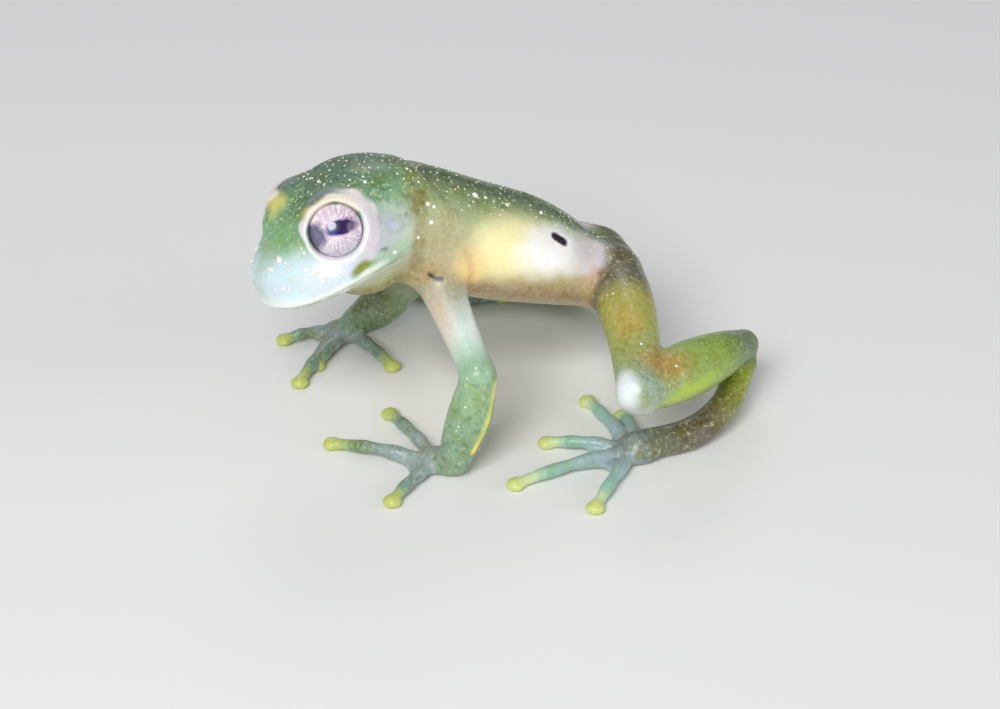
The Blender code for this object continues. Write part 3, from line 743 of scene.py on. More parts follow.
class Nodes:
    """Builds the nodes of one material with short calls."""

    def __init__(self, name: str) -> None:
        """Start a new material."""
        self.material = bpy.data.materials.new(name)
        self.material.use_nodes = True
        self.tree = self.material.node_tree
        self.shader = self.tree.nodes["Principled BSDF"]

    def add(self, kind: str, values: dict | None = None, links: dict | None = None,
            **settings: str | bool) -> bpy.types.Node:
        """Add a node to the material with its values, links and options."""
        return add_node(self.tree, kind, values, links, settings)

    def noise(self, where: bpy.types.NodeSocket, scale: float,
              detail: float = 3.0) -> bpy.types.NodeSocket:
        """Add a cloudy noise and return its value."""
        node = self.add("ShaderNodeTexNoise", {"Scale": scale, "Detail": detail},
                        {"Vector": where})
        return node.outputs["Fac"]

    def steps(self, value: bpy.types.NodeSocket, low: float, high: float, start: float = 0.0,
              end: float = 1.0) -> bpy.types.NodeSocket:
        """Turn a value into a smooth step from start at low to end at high."""
        node = self.add("ShaderNodeMapRange", {"From Min": low, "From Max": high,
                                               "To Min": start, "To Max": end},
                        {"Value": value}, interpolation_type="SMOOTHSTEP")
        return node.outputs["Result"]

    def maths(self, kind: str, *parts: bpy.types.NodeSocket | float) -> bpy.types.NodeSocket:
        """Add a sum, product or other operation on sockets and numbers."""
        node = self.add("ShaderNodeMath", operation=kind)
        for place, part in enumerate(parts):
            if isinstance(part, bpy.types.NodeSocket):
                self.tree.links.new(part, node.inputs[place])
            else:
                node.inputs[place].default_value = part
        return node.outputs[0]

    def mix(self, kind: str, share: bpy.types.NodeSocket | float, first: bpy.types.NodeSocket,
            second: bpy.types.NodeSocket | tuple[int, int, int]) -> bpy.types.NodeSocket:
        """Mix a socket's colour with another socket's or with a display colour."""
        node = self.add("ShaderNodeMix", None, {"A": first}, data_type="RGBA", blend_type=kind)
        if isinstance(share, float):
            node.inputs["Factor"].default_value = share
        else:
            self.tree.links.new(share, node.inputs["Factor"])
        if isinstance(second, tuple):
            node.inputs["B"].default_value = (*colour(*second), 1.0)
        else:
            self.tree.links.new(second, node.inputs["B"])
        return node.outputs["Result"]

    def ramp(self, value: bpy.types.NodeSocket, stops: tuple) -> bpy.types.NodeSocket:
        """Colour a value by (place, display colour) stops."""
        node = self.add("ShaderNodeValToRGB", None, {"Fac": value})
        elements = node.color_ramp.elements
        while len(elements) < len(stops):
            elements.new(0.5)
        for element, (place, tone) in zip(elements, stops):
            element.position = place
            element.color = (*colour(*tone), 1.0)
        return node.outputs["Color"]

    def bump(self, layers: tuple, strength: float) -> None:
        """Stack bump layers of (height socket, depth in metres) on the shader's normal."""
        normal = None
        for height, pupil_and_glint in layers:
            links = {"Height": height} | ({"Normal": normal} if normal else {})
            node = self.add("ShaderNodeBump", {"Strength": strength, "Distance": pupil_and_glint}, links)
            normal = node.outputs["Normal"]
        self.tree.links.new(normal, self.shader.inputs["Normal"])

    def finish(self, tone: bpy.types.NodeSocket, **values: float | tuple) -> bpy.types.Material:
        """Colour the shader and set its constant values, with _ for the spaces in their names."""
        self.tree.links.new(tone, self.shader.inputs["Base Color"])
        for key, value in values.items():
            self.shader.inputs[key.replace("_", " ")].default_value = value
        return self.material


@dataclass(frozen=True)
class SkinFinish:
    """Moist, thin, finely granular skin that lets some light through."""

    roughness: float = 0.36
    under_depth: float = 0.0007
    under_share: float = 0.35
    wet_coat: float = 0.22
    cloud: float = 800.0
    speck: float = 3400.0
    granule: float = 5200.0

    def material(self) -> bpy.types.Material:
        """Build the material, coloured by the mesh's own tone attribute."""
        nodes = Nodes("moist_skin")
        tone = nodes.add("ShaderNodeAttribute", attribute_name="tone")
        where = nodes.add("ShaderNodeTexCoord").outputs["Object"]
        mottled = tone.outputs["Alpha"]
        cloud = nodes.noise(where, self.cloud, 4.0)
        speck = nodes.noise(where, self.speck, 2.0)
        granule = nodes.add("ShaderNodeTexVoronoi", {"Scale": self.granule}, {"Vector": where})
        grain = granule.outputs["Distance"]
        olive = nodes.maths("MULTIPLY", mottled, nodes.steps(cloud, 0.46, 0.66, 0.0, 0.75))
        shade = nodes.mix("MULTIPLY", olive, tone.outputs["Color"], (236, 222, 150))
        dark = nodes.maths("MULTIPLY", mottled, nodes.steps(speck, 0.52, 0.72, 0.0, 0.6))
        shade = nodes.mix("MULTIPLY", dark, shade, (156, 160, 166))
        pale = nodes.maths("MULTIPLY", mottled, nodes.steps(speck, 0.30, 0.42, 0.5, 0.0))
        shade = nodes.mix("MIX", pale, shade, (214, 222, 176))
        dots = nodes.steps(grain, 0.12, 0.34, 0.16, 0.0)
        shade = nodes.mix("MIX", dots, shade, (240, 240, 214))
        nodes.bump(((speck, 0.00005), (grain, 0.00004)), 0.4)
        return nodes.finish(shade, Roughness=self.roughness, Subsurface_Weight=self.under_share,
                            Subsurface_Radius=(1.0, 0.75, 0.55), Subsurface_Scale=self.under_depth,
                            Specular_IOR_Level=0.35, Coat_Weight=self.wet_coat, Coat_Roughness=0.16)


@dataclass
class Place:
    """Moves finished meshes from the frog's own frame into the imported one."""

    head: Head

    def shift(self) -> Array:
        """Return the move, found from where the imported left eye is."""
        low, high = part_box("left_eye")
        packed = 0.5 * (np.array(low) + np.array(high))
        return packed - MM * self.head.eye_centre(Side.LEFT)

    def mesh(self, name: str, points: Array, faces: list) -> bpy.types.Object:
        """Make a smooth object at the origin from points in millimetres and faces."""
        mesh = bpy.data.meshes.new(name)
        world = points * MM + self.shift()
        mesh.from_pydata(world.tolist(), [], faces)
        mesh.validate()
        mesh.shade_smooth()
        item = bpy.data.objects.new(name, mesh)
        bpy.context.scene.collection.objects.link(item)
        return item


@dataclass(frozen=True)
class Patch:
    """A soft-edged patch of colour, in the measures of the region that it lies on."""

    place: Point
    size: Point
    tone: tuple[int, int, int]
    strength: float = 1.0
    edge: float = 0.5
    side: Side | None = None

    def cover(self, points: Array, left: Array) -> Array:
        """Return how much of the patch's colour each point takes.

        Args:
            points: The points, with their sideways measure made positive.
            left: Whether each point is on the frog's left.

        Returns:
            A share from 0 to 1 for each point.
        """
        gap = np.linalg.norm((points - np.asarray(self.place)) / np.asarray(self.size), axis=1)
        share = self.strength * (1.0 - ease(gap, 1.0 - self.edge, 1.0 + self.edge))
        if self.side is None:
            return share
        return np.where(left == (self.side is Side.LEFT), share, 0.0)


def paint(tones: Array, tone: tuple[int, int, int], share: Array) -> Array:
    """Mix one display colour into the tones by each point's share."""
    return tones + (np.array(colour(*tone)) - tones) * share[:, None]


def blend_stops(stops: tuple, places: Array) -> Array:
    """Return the tones at places along a row of (place, display colour) stops."""
    keys = np.array([place for place, _ in stops])
    tones = np.array([colour(*tone) for _, tone in stops])
    return np.stack([np.interp(places, keys, tones[:, k]) for k in range(3)], 1)


TRUNK_STOPS = (  # angle above the flank's middle, colour
    (-90.0, (222, 210, 186)),
    (-50.0, (208, 186, 152)),
    (-22.0, (182, 152, 118)),
    (-5.0, (196, 178, 132)),
    (15.0, (200, 200, 156)),
    (38.0, (180, 196, 146)),
    (62.0, (148, 168, 118)),
    (90.0, (74, 100, 62)),
)
TRUNK_PATCHES = (
    Patch((7.0, 3.9, 12.1), (3.3, 2.4, 1.9), (255, 244, 186), 0.95),
    Patch((10.0, 3.6, 11.4), (2.5, 2.0, 1.5), (255, 253, 253), 0.95),
    Patch((13.0, 2.6, 10.1), (1.9, 2.0, 1.3), (230, 220, 226), 0.9),
    Patch((4.3, 4.5, 11.6), (1.0, 1.3, 1.1), (255, 222, 150), 0.85),
    Patch((12.8, 3.4, 9.0), (1.5, 1.5, 0.6), (206, 160, 132), 0.6),
    Patch((2.6, 4.3, 13.6), (1.9, 1.6, 2.1), (184, 176, 138), 0.8, 0.7),
    Patch((0.6, 2.6, 16.0), (1.5, 2.0, 1.2), (112, 124, 66), 0.8, 0.7),
    Patch((15.4, 1.5, 8.8), (1.7, 1.8, 1.6), (92, 98, 72), 0.85),
    Patch((14.6, 3.0, 9.2), (1.3, 1.3, 0.9), (136, 124, 112), 0.7),
)
HEAD_STOPS = (  # height from between the eyes, colour
    (-4.4, (204, 206, 172)),
    (-3.3, (206, 214, 184)),
    (-2.6, (190, 210, 190)),
    (-1.4, (196, 216, 204)),
    (-0.3, (172, 200, 170)),
    (0.8, (126, 168, 126)),
    (1.8, (112, 148, 112)),
    (2.6, (102, 130, 106)),
)
HEAD_PATCHES = (
    Patch((3.9, 2.3, -1.9), (2.6, 2.6, 1.75), (214, 234, 244), 0.9, 0.5),
    Patch((1.4, 4.2, -2.0), (2.2, 1.6, 1.1), (222, 234, 248), 0.9, 0.5),
    Patch((1.7, 3.9, -1.5), (0.9, 0.8, 0.42), (252, 250, 255), 0.8, 0.7),
    Patch((4.5, 1.9, -3.0), (1.4, 2.4, 0.5), (236, 248, 250), 0.7, 0.8),
    Patch((-1.9, 1.2, -5.4), (3.4, 3.4, 1.5), (150, 140, 54), 0.9, 0.45),
    Patch((2.8, 1.0, 0.7), (1.5, 1.4, 1.0), (138, 190, 132), 0.8, 0.7),
    Patch((-2.3, 4.3, -0.9), (1.6, 1.5, 1.3), (192, 194, 208), 0.85, 0.7),
    Patch((-2.2, 4.5, -2.5), (2.2, 1.2, 0.7), (172, 200, 170), 0.8),
    Patch((0.0, 4.45, -2.35), (0.75, 0.9, 0.42), (140, 150, 52), 0.95, 0.5),
    Patch((-1.2, 3.75, 1.75), (0.8, 0.7, 0.42), (240, 226, 150), 0.6, 0.7),
    Patch((1.35, 2.55, 1.72), (0.55, 0.6, 0.4), (214, 202, 110), 0.85, 0.6, Side.LEFT),
    Patch((1.45, 2.0, 1.65), (0.6, 0.8, 1.0), (226, 216, 124), 0.8, 0.8, Side.RIGHT),
    # Painted shade: a grey-violet patch on the lid's top, above each eye.
    Patch((0.1, 2.5, 2.35), (0.9, 0.5, 0.4), (150, 158, 178), 0.6, 0.7),
    Patch((-4.08, 4.2, -0.7), (0.24, 0.5, 0.17), (96, 84, 120), 0.75, 0.8),
    Patch((-1.77, 4.44, -1.85), (0.24, 0.5, 0.14), (104, 104, 130), 0.75, 0.7),
)
ARM_STOPS = (  # 0 shoulder, 1 elbow, 2 wrist, 3 palm, 4 finger tips
    (0.0, (168, 152, 122)),
    (0.35, (178, 180, 160)),
    (0.65, (214, 230, 224)),
    (0.95, (156, 192, 158)),
    (1.3, (150, 182, 138)),
    (1.8, (134, 166, 136)),
    (2.6, (164, 172, 152)),
    (3.2, (160, 176, 176)),
    (3.72, (126, 154, 138)),
    (3.88, (176, 196, 116)),
    (4.0, (196, 206, 116)),
)
LEG_STOPS = (  # 0 hip, 1 knee, 2 heel, 3 ball, 4 toe tips
    (0.0, (112, 106, 88)),
    (0.25, (110, 106, 84)),
    (0.4, (176, 170, 86)),
    (0.6, (172, 176, 84)),
    (0.85, (158, 172, 112)),
    (1.0, (152, 172, 146)),
    (1.2, (164, 182, 106)),
    (1.55, (146, 178, 60)),
    (1.9, (66, 104, 50)),
    (2.15, (156, 168, 44)),
    (2.6, (112, 98, 82)),
    (2.9, (118, 124, 104)),
    (3.2, (164, 184, 194)),
    (3.72, (150, 196, 176)),
    (3.87, (208, 224, 178)),
    (4.0, (208, 218, 134)),
)
ARM_PATCHES = (
    Patch((1.95, 5.4, 8.5), (0.7, 2.4, 1.9), (226, 200, 176), 0.65, 0.7, Side.LEFT),
    # Painted highlight: a white rim of light along the near upper arm's rear edge.
    Patch((4.1, 6.4, 8.8), (0.7, 2.2, 1.6), (244, 250, 248), 0.7, 0.7, Side.LEFT),
    # Painted shade: the far arm is darkened to olive-brown and grey-brown where it lies in the
    # shadow under the body.
    Patch((2.3, 5.2, 7.6), (2.4, 3.0, 3.0), (140, 124, 50), 0.85, 0.6, Side.RIGHT),
    Patch((1.2, 7.6, 3.2), (1.7, 1.7, 1.9), (134, 128, 98), 0.6, 0.7, Side.RIGHT),
)
LEG_PATCHES = (
    Patch((14.6, 12.4, 7.5), (1.5, 1.2, 0.9), (190, 142, 66), 0.75, 0.8, Side.LEFT),
    Patch((13.1, 9.0, 8.8), (0.9, 1.4, 0.9), (206, 164, 84), 0.55, 0.8, Side.LEFT),
    Patch((16.4, 13.0, 5.6), (3.4, 2.0, 0.5), (186, 214, 60), 0.8, 0.8, Side.LEFT),
    # Painted highlight: a white sheen of light on the front of each knee.
    Patch((11.5, 13.8, 6.8), (0.9, 1.3, 1.2), (246, 252, 255), 0.9, 0.6),
    Patch((12.4, 14.4, 5.2), (1.1, 1.2, 0.8), (206, 202, 206), 0.6, 0.7),
)
ULNAR_LINES = {
    Side.LEFT: ((4.5, -9.7, 6.1), (3.75, -10.75, 4.0), (2.7, -11.1, 2.0)),
    Side.RIGHT: ((3.7, 7.5, 4.2), (2.2, 8.9, 2.8), (0.5, 9.6, 1.4)),
}
ULNAR_TONE = (238, 224, 92)
LIP_TONE = (244, 250, 240)
LID_BAND_TONE = (246, 234, 244)
LID_RIM_TONE = (246, 240, 248)
LID_TOP_TONE = (248, 234, 208)
SPOT_TONE = (34, 16, 40)
SPOT_ENDS = ((10.3, -2.8, 11.95), (10.8, -2.9, 11.6))


@dataclass(frozen=True)
class Stroke:
    """A fold, crease or mark along a line on the skin, on both sides unless it says not."""

    line: tuple
    width: float
    height: float = 0.0
    tone: tuple[int, int, int] | None = None
    strength: float = 0.7
    both_sides: bool = True

    def lines(self) -> list[Array]:
        """Return the line and, where it is on both sides, its mirror image."""
        line = np.asarray(self.line, float)
        return [line, line * (1.0, -1.0, 1.0)] if self.both_sides else [line]


EARDRUM_CENTRE = (-3.2, 4.3, -0.9)
EARDRUM_RADIUS = 0.5
EARDRUM = tuple((EARDRUM_CENTRE[0] + EARDRUM_RADIUS * math.cos(a), EARDRUM_CENTRE[1],
                 EARDRUM_CENTRE[2] + EARDRUM_RADIUS * math.sin(a))
                for a in np.linspace(0.0, 2.0 * math.pi, 13))
HEAD_STROKES = (  # places ahead, left and up from between the eyes
    Stroke(((-1.9, 3.9, 1.2), (-3.2, 4.2, 0.6), (-4.3, 4.3, -0.6), (-4.9, 4.3, -2.0)), 0.32, 0.10),
    Stroke(((2.3, 2.5, 0.5), (3.4, 1.8, -0.2), (4.5, 1.1, -0.9)), 0.42, 0.10),
    Stroke(((2.2, 1.6, 0.9), (1.2, 0.75, 1.9), (-0.4, 0.6, 2.3), (-1.8, 1.0, 2.4)), 0.22, -0.07),
    Stroke(((2.1, 3.6, -1.1), (1.0, 4.3, -1.9), (-0.6, 4.6, -2.0), (-1.9, 4.5, -1.3)), 0.16, -0.05),
    Stroke(EARDRUM, 0.16, -0.04, (150, 156, 164), 0.22),
    Stroke(((-2.3, 4.4, -3.0), (-2.9, 4.3, -3.5)), 0.2, -0.08),
)
BODY_STROKES = (
    Stroke(((2.3, -1.1, 16.9), (1.3, -3.4, 15.9), (1.0, -4.6, 13.4), (0.8, -4.6, 11.6)),
           0.42, -0.07, (150, 132, 80), 0.5),
    Stroke(((3.2, -3.2, 15.4), (2.6, -4.7, 13.2)), 0.30, 0.05),
    Stroke(((4.1, -4.6, 12.6), (4.4, -4.7, 11.2), (4.2, -4.2, 9.6)), 0.22, -0.10,
           (214, 168, 124), 0.35),
    # Painted shade: a near-black line in the crease where the near upper arm joins the flank.
    Stroke(((1.6, -4.6, 11.3), (2.0, -4.7, 11.05), (2.4, -4.6, 10.9)), 0.12, -0.03,
           (14, 8, 12), 1.0, False),
    Stroke(((9.5, -1.3, 13.4), (12.0, -1.5, 11.8), (14.6, -1.3, 9.4)), 0.40, 0.10),
    Stroke(((11.0, 0.0, 12.4), (13.5, 0.0, 10.4), (16.0, 0.0, 8.2)), 0.40, 0.08, None, 0.0, False),
    Stroke(((3.0, 0.0, 16.2), (6.0, 0.1, 14.8), (9.0, 0.1, 13.4)), 0.50, -0.05, None, 0.0, False),
    Stroke(((2.2, -3.0, 16.0), (3.6, -3.6, 14.6)), 0.80, 0.12),
    Stroke(((15.2, -2.9, 9.6), (14.0, -3.6, 8.4), (13.0, -3.6, 7.2)), 0.25, -0.09,
           (150, 120, 92), 0.4),
    Stroke(((6.5, -4.8, 10.0), (8.5, -4.7, 9.2), (10.5, -4.4, 8.7)), 0.25, -0.04),
    Stroke(((17.3, 0.0, 7.0), (17.5, 0.0, 6.6)), 0.25, -0.15, (120, 98, 78), 0.6, False),
)
HEAD_FLECKS = (  # ahead, left and up from between the eyes, radius
    (3.75, 1.69, -0.44, 0.21),
    (4.38, 1.43, -0.87, 0.18),
    (2.98, 3.30, -1.17, 0.19),
    (3.87, 2.78, -1.53, 0.15),
    (4.45, 2.28, -1.97, 0.17),
    (2.68, 3.65, -1.59, 0.13),
    (1.44, 4.25, -2.23, 0.15),
    (2.45, 3.90, -2.14, 0.19),
    (2.63, 3.07, -0.23, 0.13),
    (3.16, 3.36, -1.78, 0.10),
    (4.13, 2.54, -2.00, 0.11),
    (4.50, 1.25, -0.75, 0.09),
    (3.56, 2.09, -0.62, 0.11),
    (3.75, 1.50, -0.20, 0.10),
    (3.70, 2.45, -1.10, 0.10),
    (2.50, 3.75, -1.50, 0.10),
    (4.90, 1.80, -2.00, 0.09),
    (2.60, 2.90, 0.05, 0.09),
    (3.60, 3.00, -2.30, 0.10),
    (4.95, 1.20, -1.30, 0.09),
    (-0.85, 0.56, 2.40, 0.12),
    (-2.71, 3.02, 2.02, 0.13),
    (-0.77, 1.47, 2.41, 0.10),
    (-5.80, 2.59, 1.41, 0.12),
)
BODY_FLECKS = (  # x, y and z in the frog's own frame, radius
    (5.4, -1.4, 14.8, 0.23),
    (6.1, -1.3, 14.5, 0.15),
    (7.5, -1.4, 13.9, 0.18),
    (9.7, -1.3, 12.9, 0.15),
    (1.9, -3.5, 15.7, 0.16),
    (2.3, -3.6, 15.5, 0.13),
    (2.0, -4.1, 14.7, 0.17),
    (-0.6, -5.2, 13.5, 0.15),
    (1.1, -4.7, 14.0, 0.14),
    (3.2, -8.6, 7.9, 0.08),
    (3.3, -9.6, 7.2, 0.09),
    (2.7, -9.7, 6.6, 0.07),
    (2.4, -10.4, 5.0, 0.08),
    (1.9, -10.6, 3.8, 0.07),
    (13.4, -11.2, 8.3, 0.10),
    (15.2, -12.7, 7.3, 0.09),
    (13.1, -6.1, 9.2, 0.09),
)


def line_gap(points: Array, line: tuple) -> Array:
    """Return each point's distance to a line through a few points."""
    gap = np.full(len(points), np.inf)
    for start, end in zip(line[:-1], line[1:]):
        start, run = np.asarray(start), np.asarray(end) - np.asarray(start)
        share = np.clip((points - start) @ run / (run @ run), 0.0, 1.0)
        gap = np.minimum(gap, np.linalg.norm(points - start - share[:, None] * run, axis=1))
    return gap


@dataclass
class Skin:
    """The one skin that covers head, trunk and limbs."""

    head: Head
    trunk: Trunk
    limbs: tuple[Limb, ...]
    finish: SkinFinish = SkinFinish()
    voxel: float = 0.14
    low: Point = (-10.6, -18.4, -0.6)
    high: Point = (24.6, 20.2, 18.4)
    neck: Point = (0.6, -0.7, 14.2)
    neck_facing: Point = (-0.99, -0.12, 0.0)
    softness: int = 7
    trunk_blend: float = 0.5
    head_blend: float = 0.7
    lid_blend: float = 0.8
    throat_blend: float = 0.9
    ridge_radii: Point = (0.06, 0.14, 0.06)
    ridge_blend: float = 0.3
    wave_scale: float = 1.1
    wave_reach: float = 0.28
    limb_edge: tuple[float, float] = (-0.3, 0.9)
    limb_reach: float = 1.5
    wave_seed: int = 7
    core: Volume = field(init=False, default=None)
    body: Volume = field(init=False, default=None)
    shares: Array = field(init=False, default=None)

    def volume(self) -> Volume:
        """Build the whole frog as one volume of distances."""
        volume = Volume(self.low, self.high, self.voxel)
        volume.add(self.trunk.shape(), self.trunk_blend)
        volume.add(self.head.shape(), self.head_blend)
        for side in Side:
            radius = self.head.lid_radius
            lid = ellipsoid(self.head.eye_centre(side), (radius, radius, radius))
            volume.add(lid, self.lid_blend)
        throat = ellipsoid(self.head.place(*self.head.throat), self.head.throat_size,
                           self.head.axes())
        volume.add(throat, self.throat_blend)
        volume.blur(self.softness)
        self.core = Volume(self.low, self.high, self.voxel)
        self.core.values = volume.values.copy()
        for limb in self.limbs:
            limb.add_to(volume)
        self.head.carve_details(volume)
        self.raise_lines(volume)
        height = volume.grid(volume.window(self.low, self.high))[2]
        volume.values = np.maximum(volume.values, -height)
        self.body = volume
        return volume

    def stroke_lines(self) -> list[tuple[Stroke, Array]]:
        """Return every stroke with each of its lines in the frog's own frame."""
        found = [(stroke, self.head.place(*line.T)) for stroke in HEAD_STROKES
                 for line in stroke.lines()]
        return found + [(stroke, line) for stroke in BODY_STROKES for line in stroke.lines()]

    def raise_lines(self, volume: Volume) -> None:
        """Raise the folds and sink the creases, and raise each forearm's outer edge."""
        for stroke, line in self.stroke_lines():
            if stroke.height:
                volume.emboss(line, stroke.width, stroke.height)
        for line in ULNAR_LINES.values():
            stations = [(*point, radius) for point, radius in zip(line, self.ridge_radii)]
            volume.add(tube(stations, 20, 16), self.ridge_blend)

    def build(self, place: Place) -> bpy.types.Object:
        """Make the skin's mesh, paint it and give it its material."""
        points, quads = self.volume().surface()
        points[:, 2] = np.maximum(points[:, 2], 0.0)
        item = place.mesh("skin", points, quads[:, ::-1].tolist())
        tones = self.tones(points)
        layer = item.data.color_attributes.new("tone", "FLOAT_COLOR", "POINT")
        values = np.column_stack([tones, self.mottling(tones)])
        layer.data.foreach_set("color", values.astype(np.float32).ravel())
        item.data.materials.append(self.finish.material())
        self.shares = self.fleck_shares(points)
        return item

    def tones(self, points: Array) -> Array:
        """Return the colour of the skin at each point."""
        noise.seed_set(self.wave_seed)
        wave = np.array([noise.noise_vector(Vector(p * self.wave_scale)) for p in points])
        moved = points + self.wave_reach * wave
        left = points[:, 1] < 0.0
        tones = self.trunk_tones(moved, left)
        ahead = (moved - np.asarray(self.neck)) @ np.array(self.neck_facing)
        tones = tones + (self.head_tones(moved) - tones) * ease(ahead, -1.0, 1.6)[:, None]
        core_gap = self.core.read(points)
        for limb in self.limbs:
            tones = self.limb_tones(limb, points, moved, core_gap, tones)
        for stroke, line in self.stroke_lines():
            if stroke.tone:
                gap = line_gap(points, self.body.snap(line))
                share = stroke.strength * (1.0 - ease(gap, 0.5 * stroke.width, 1.6 * stroke.width))
                tones = paint(tones, stroke.tone, share)
        return paint(tones, SPOT_TONE, 1.0 - ease(line_gap(points, SPOT_ENDS), 0.26, 0.40))

    @staticmethod
    def mottling(tones: Array) -> Array:
        """Return how mottled the skin is: much on the green back, little where it is pale."""
        light = tones @ np.array((0.3, 0.6, 0.1))
        return (0.12 + 0.88 * (1.0 - ease(light, 0.22, 0.62))) * ease(light, 0.02, 0.07)

    def fleck_shares(self, points: Array) -> Array:
        """Return how crowded the raised flecks are at each point: most on the upper skin."""
        angle = self.trunk.measure(points)
        measures = self.head.measure(points)
        ahead = ease(measures[:, 0], -6.5, -4.5)
        crown = ease(measures[:, 2], -0.2, 1.2)
        snout = 0.30 * ease(measures[:, 0], 0.6, 2.2) * ease(measures[:, 2], -3.0, -2.4)
        shares = 0.85 * ease(angle, 28.0, 60.0)
        shares = shares + (np.maximum(crown, snout) - shares) * ahead
        core_gap = self.core.read(points)
        for limb in self.limbs:
            gap, place = limb.measure(points)
            on_limb = ease(core_gap - gap, *self.limb_edge)
            bare = 0.16 * (1.0 - ease(place, 2.6, 3.0))
            shares = shares + (bare - shares) * on_limb
        for side in Side:
            away = np.linalg.norm(points - self.head.eye_centre(side), axis=1)
            shares = shares * ease(away, 2.35, 2.8)
        return shares * ease(points[:, 2], 1.5, 2.5)

    def chosen_flecks(self, place: Place) -> bpy.types.Object:
        """Return loose points on the skin that each carry a fleck's size and facing."""
        head, body = np.array(HEAD_FLECKS), np.array(BODY_FLECKS)
        rows = [self.head.place(head[:, 0], sign * head[:, 1], head[:, 2]) for sign in (1.0, -1.0)]
        points = self.body.snap(np.vstack([*rows, body[:, :3]]))
        item = place.mesh("chosen_flecks", points, [])
        sizes = MM * np.concatenate([head[:, 3], head[:, 3], body[:, 3]])
        layer = item.data.attributes.new("size", "FLOAT", "POINT")
        layer.data.foreach_set("value", sizes.astype(np.float32))
        layer = item.data.attributes.new("facing", "FLOAT_VECTOR", "POINT")
        layer.data.foreach_set("vector", self.body.facing(points).astype(np.float32).ravel())
        return item

    def trunk_tones(self, points: Array, left: Array) -> Array:
        """Return the trunk's colours."""
        angle = self.trunk.measure(points)
        tones = blend_stops(TRUNK_STOPS, angle)
        folded = points * np.array((1.0, -1.0, 1.0))
        folded[:, 1] = np.abs(folded[:, 1])
        for patch in TRUNK_PATCHES:
            tones = paint(tones, patch.tone, patch.cover(folded, left))
        return tones

    def head_tones(self, points: Array) -> Array:
        """Return the head's colours, with its lips and lids."""
        measures = self.head.measure(points)
        left = measures[:, 1] > 0.0
        folded = np.column_stack([measures[:, 0], np.abs(measures[:, 1]), measures[:, 2]])
        tones = blend_stops(HEAD_STOPS, folded[:, 2])
        for patch in HEAD_PATCHES:
            tones = paint(tones, patch.tone, patch.cover(folded, left))
        front, back = self.head.mouth_heights
        level = front + (back - front) * self.head.slope(measures[:, 0])
        above = measures[:, 2] - level
        lip = (1.0 - ease(np.abs(above - 0.22), 0.12, 0.42)) * ease(measures[:, 0], -2.5, -0.5)
        tones = paint(tones, LIP_TONE, 0.9 * lip)
        for side in Side:
            tones = self.lid_tones(points, side, tones)
        return tones

    def lid_tones(self, points: Array, side: Side, tones: Array) -> Array:
        """Paint one eye's lids: a cream rim above, white below and a pinkish band behind."""
        local = (points - self.head.eye_centre(side)) @ self.head.eye_axes(side).T
        across, upward, out = local.T
        radial = np.hypot(across, upward)
        outside = ease(out, -0.2, 0.3)
        rim = (1.0 - ease(np.abs(radial - 1.92), 0.10, 0.34)) * outside
        turn = np.degrees(np.arctan2(upward, -across * side.sign))
        above = ease(turn, 10.0, 60.0) * (1.0 - ease(turn, 140.0, 175.0))
        behind = ease(np.abs(turn), 95.0, 135.0)
        band = (1.0 - ease(np.abs(radial - 2.25), 0.2, 0.55)) * outside * behind
        tones = paint(tones, LID_BAND_TONE, 0.8 * band)
        tones = paint(tones, LID_RIM_TONE, 0.85 * rim)
        return paint(tones, LID_TOP_TONE, 0.8 * rim * above)

    def limb_tones(self, limb: Limb, points: Array, moved: Array, core_gap: Array,
                   tones: Array) -> Array:
        """Paint one limb from its root to the tips of its digits."""
        gap, place = limb.measure(points)
        share = ease(core_gap - gap, *self.limb_edge)
        near = gap < self.limb_reach
        arm = limb.pad == "palm"
        colours = blend_stops(ARM_STOPS if arm else LEG_STOPS, place[near])
        folded = moved[near] * np.array((1.0, -limb.side.sign, 1.0))
        left = np.full(len(folded), limb.side is Side.LEFT)
        for patch in ARM_PATCHES if arm else LEG_PATCHES:
            colours = paint(colours, patch.tone, patch.cover(folded, left))
        if arm:
            ridge = 1.0 - ease(line_gap(points[near], ULNAR_LINES[limb.side]), 0.06, 0.26)
            colours = paint(colours, ULNAR_TONE, ridge)
        tones = tones.copy()
        tones[near] += (colours - tones[near]) * share[near, None]
        return tones


@dataclass(frozen=True)
class FleckFinish:
    """Small raised cream flecks, moist like the skin round them."""

    roughness: float = 0.34
    wet_coat: float = 0.4

    def material(self) -> bpy.types.Material:
        """Build the material, from cream to white by place."""
        nodes = Nodes("cream_flecks")
        where = nodes.add("ShaderNodeTexCoord").outputs["Object"]
        tone = nodes.ramp(nodes.noise(where, 1400.0), ((0.38, (226, 230, 196)),
                                                       (0.50, (246, 246, 228)),
                                                       (0.62, (255, 255, 253))))
        return nodes.finish(tone, Roughness=self.roughness, Coat_Weight=self.wet_coat,
                            Coat_Roughness=0.12)


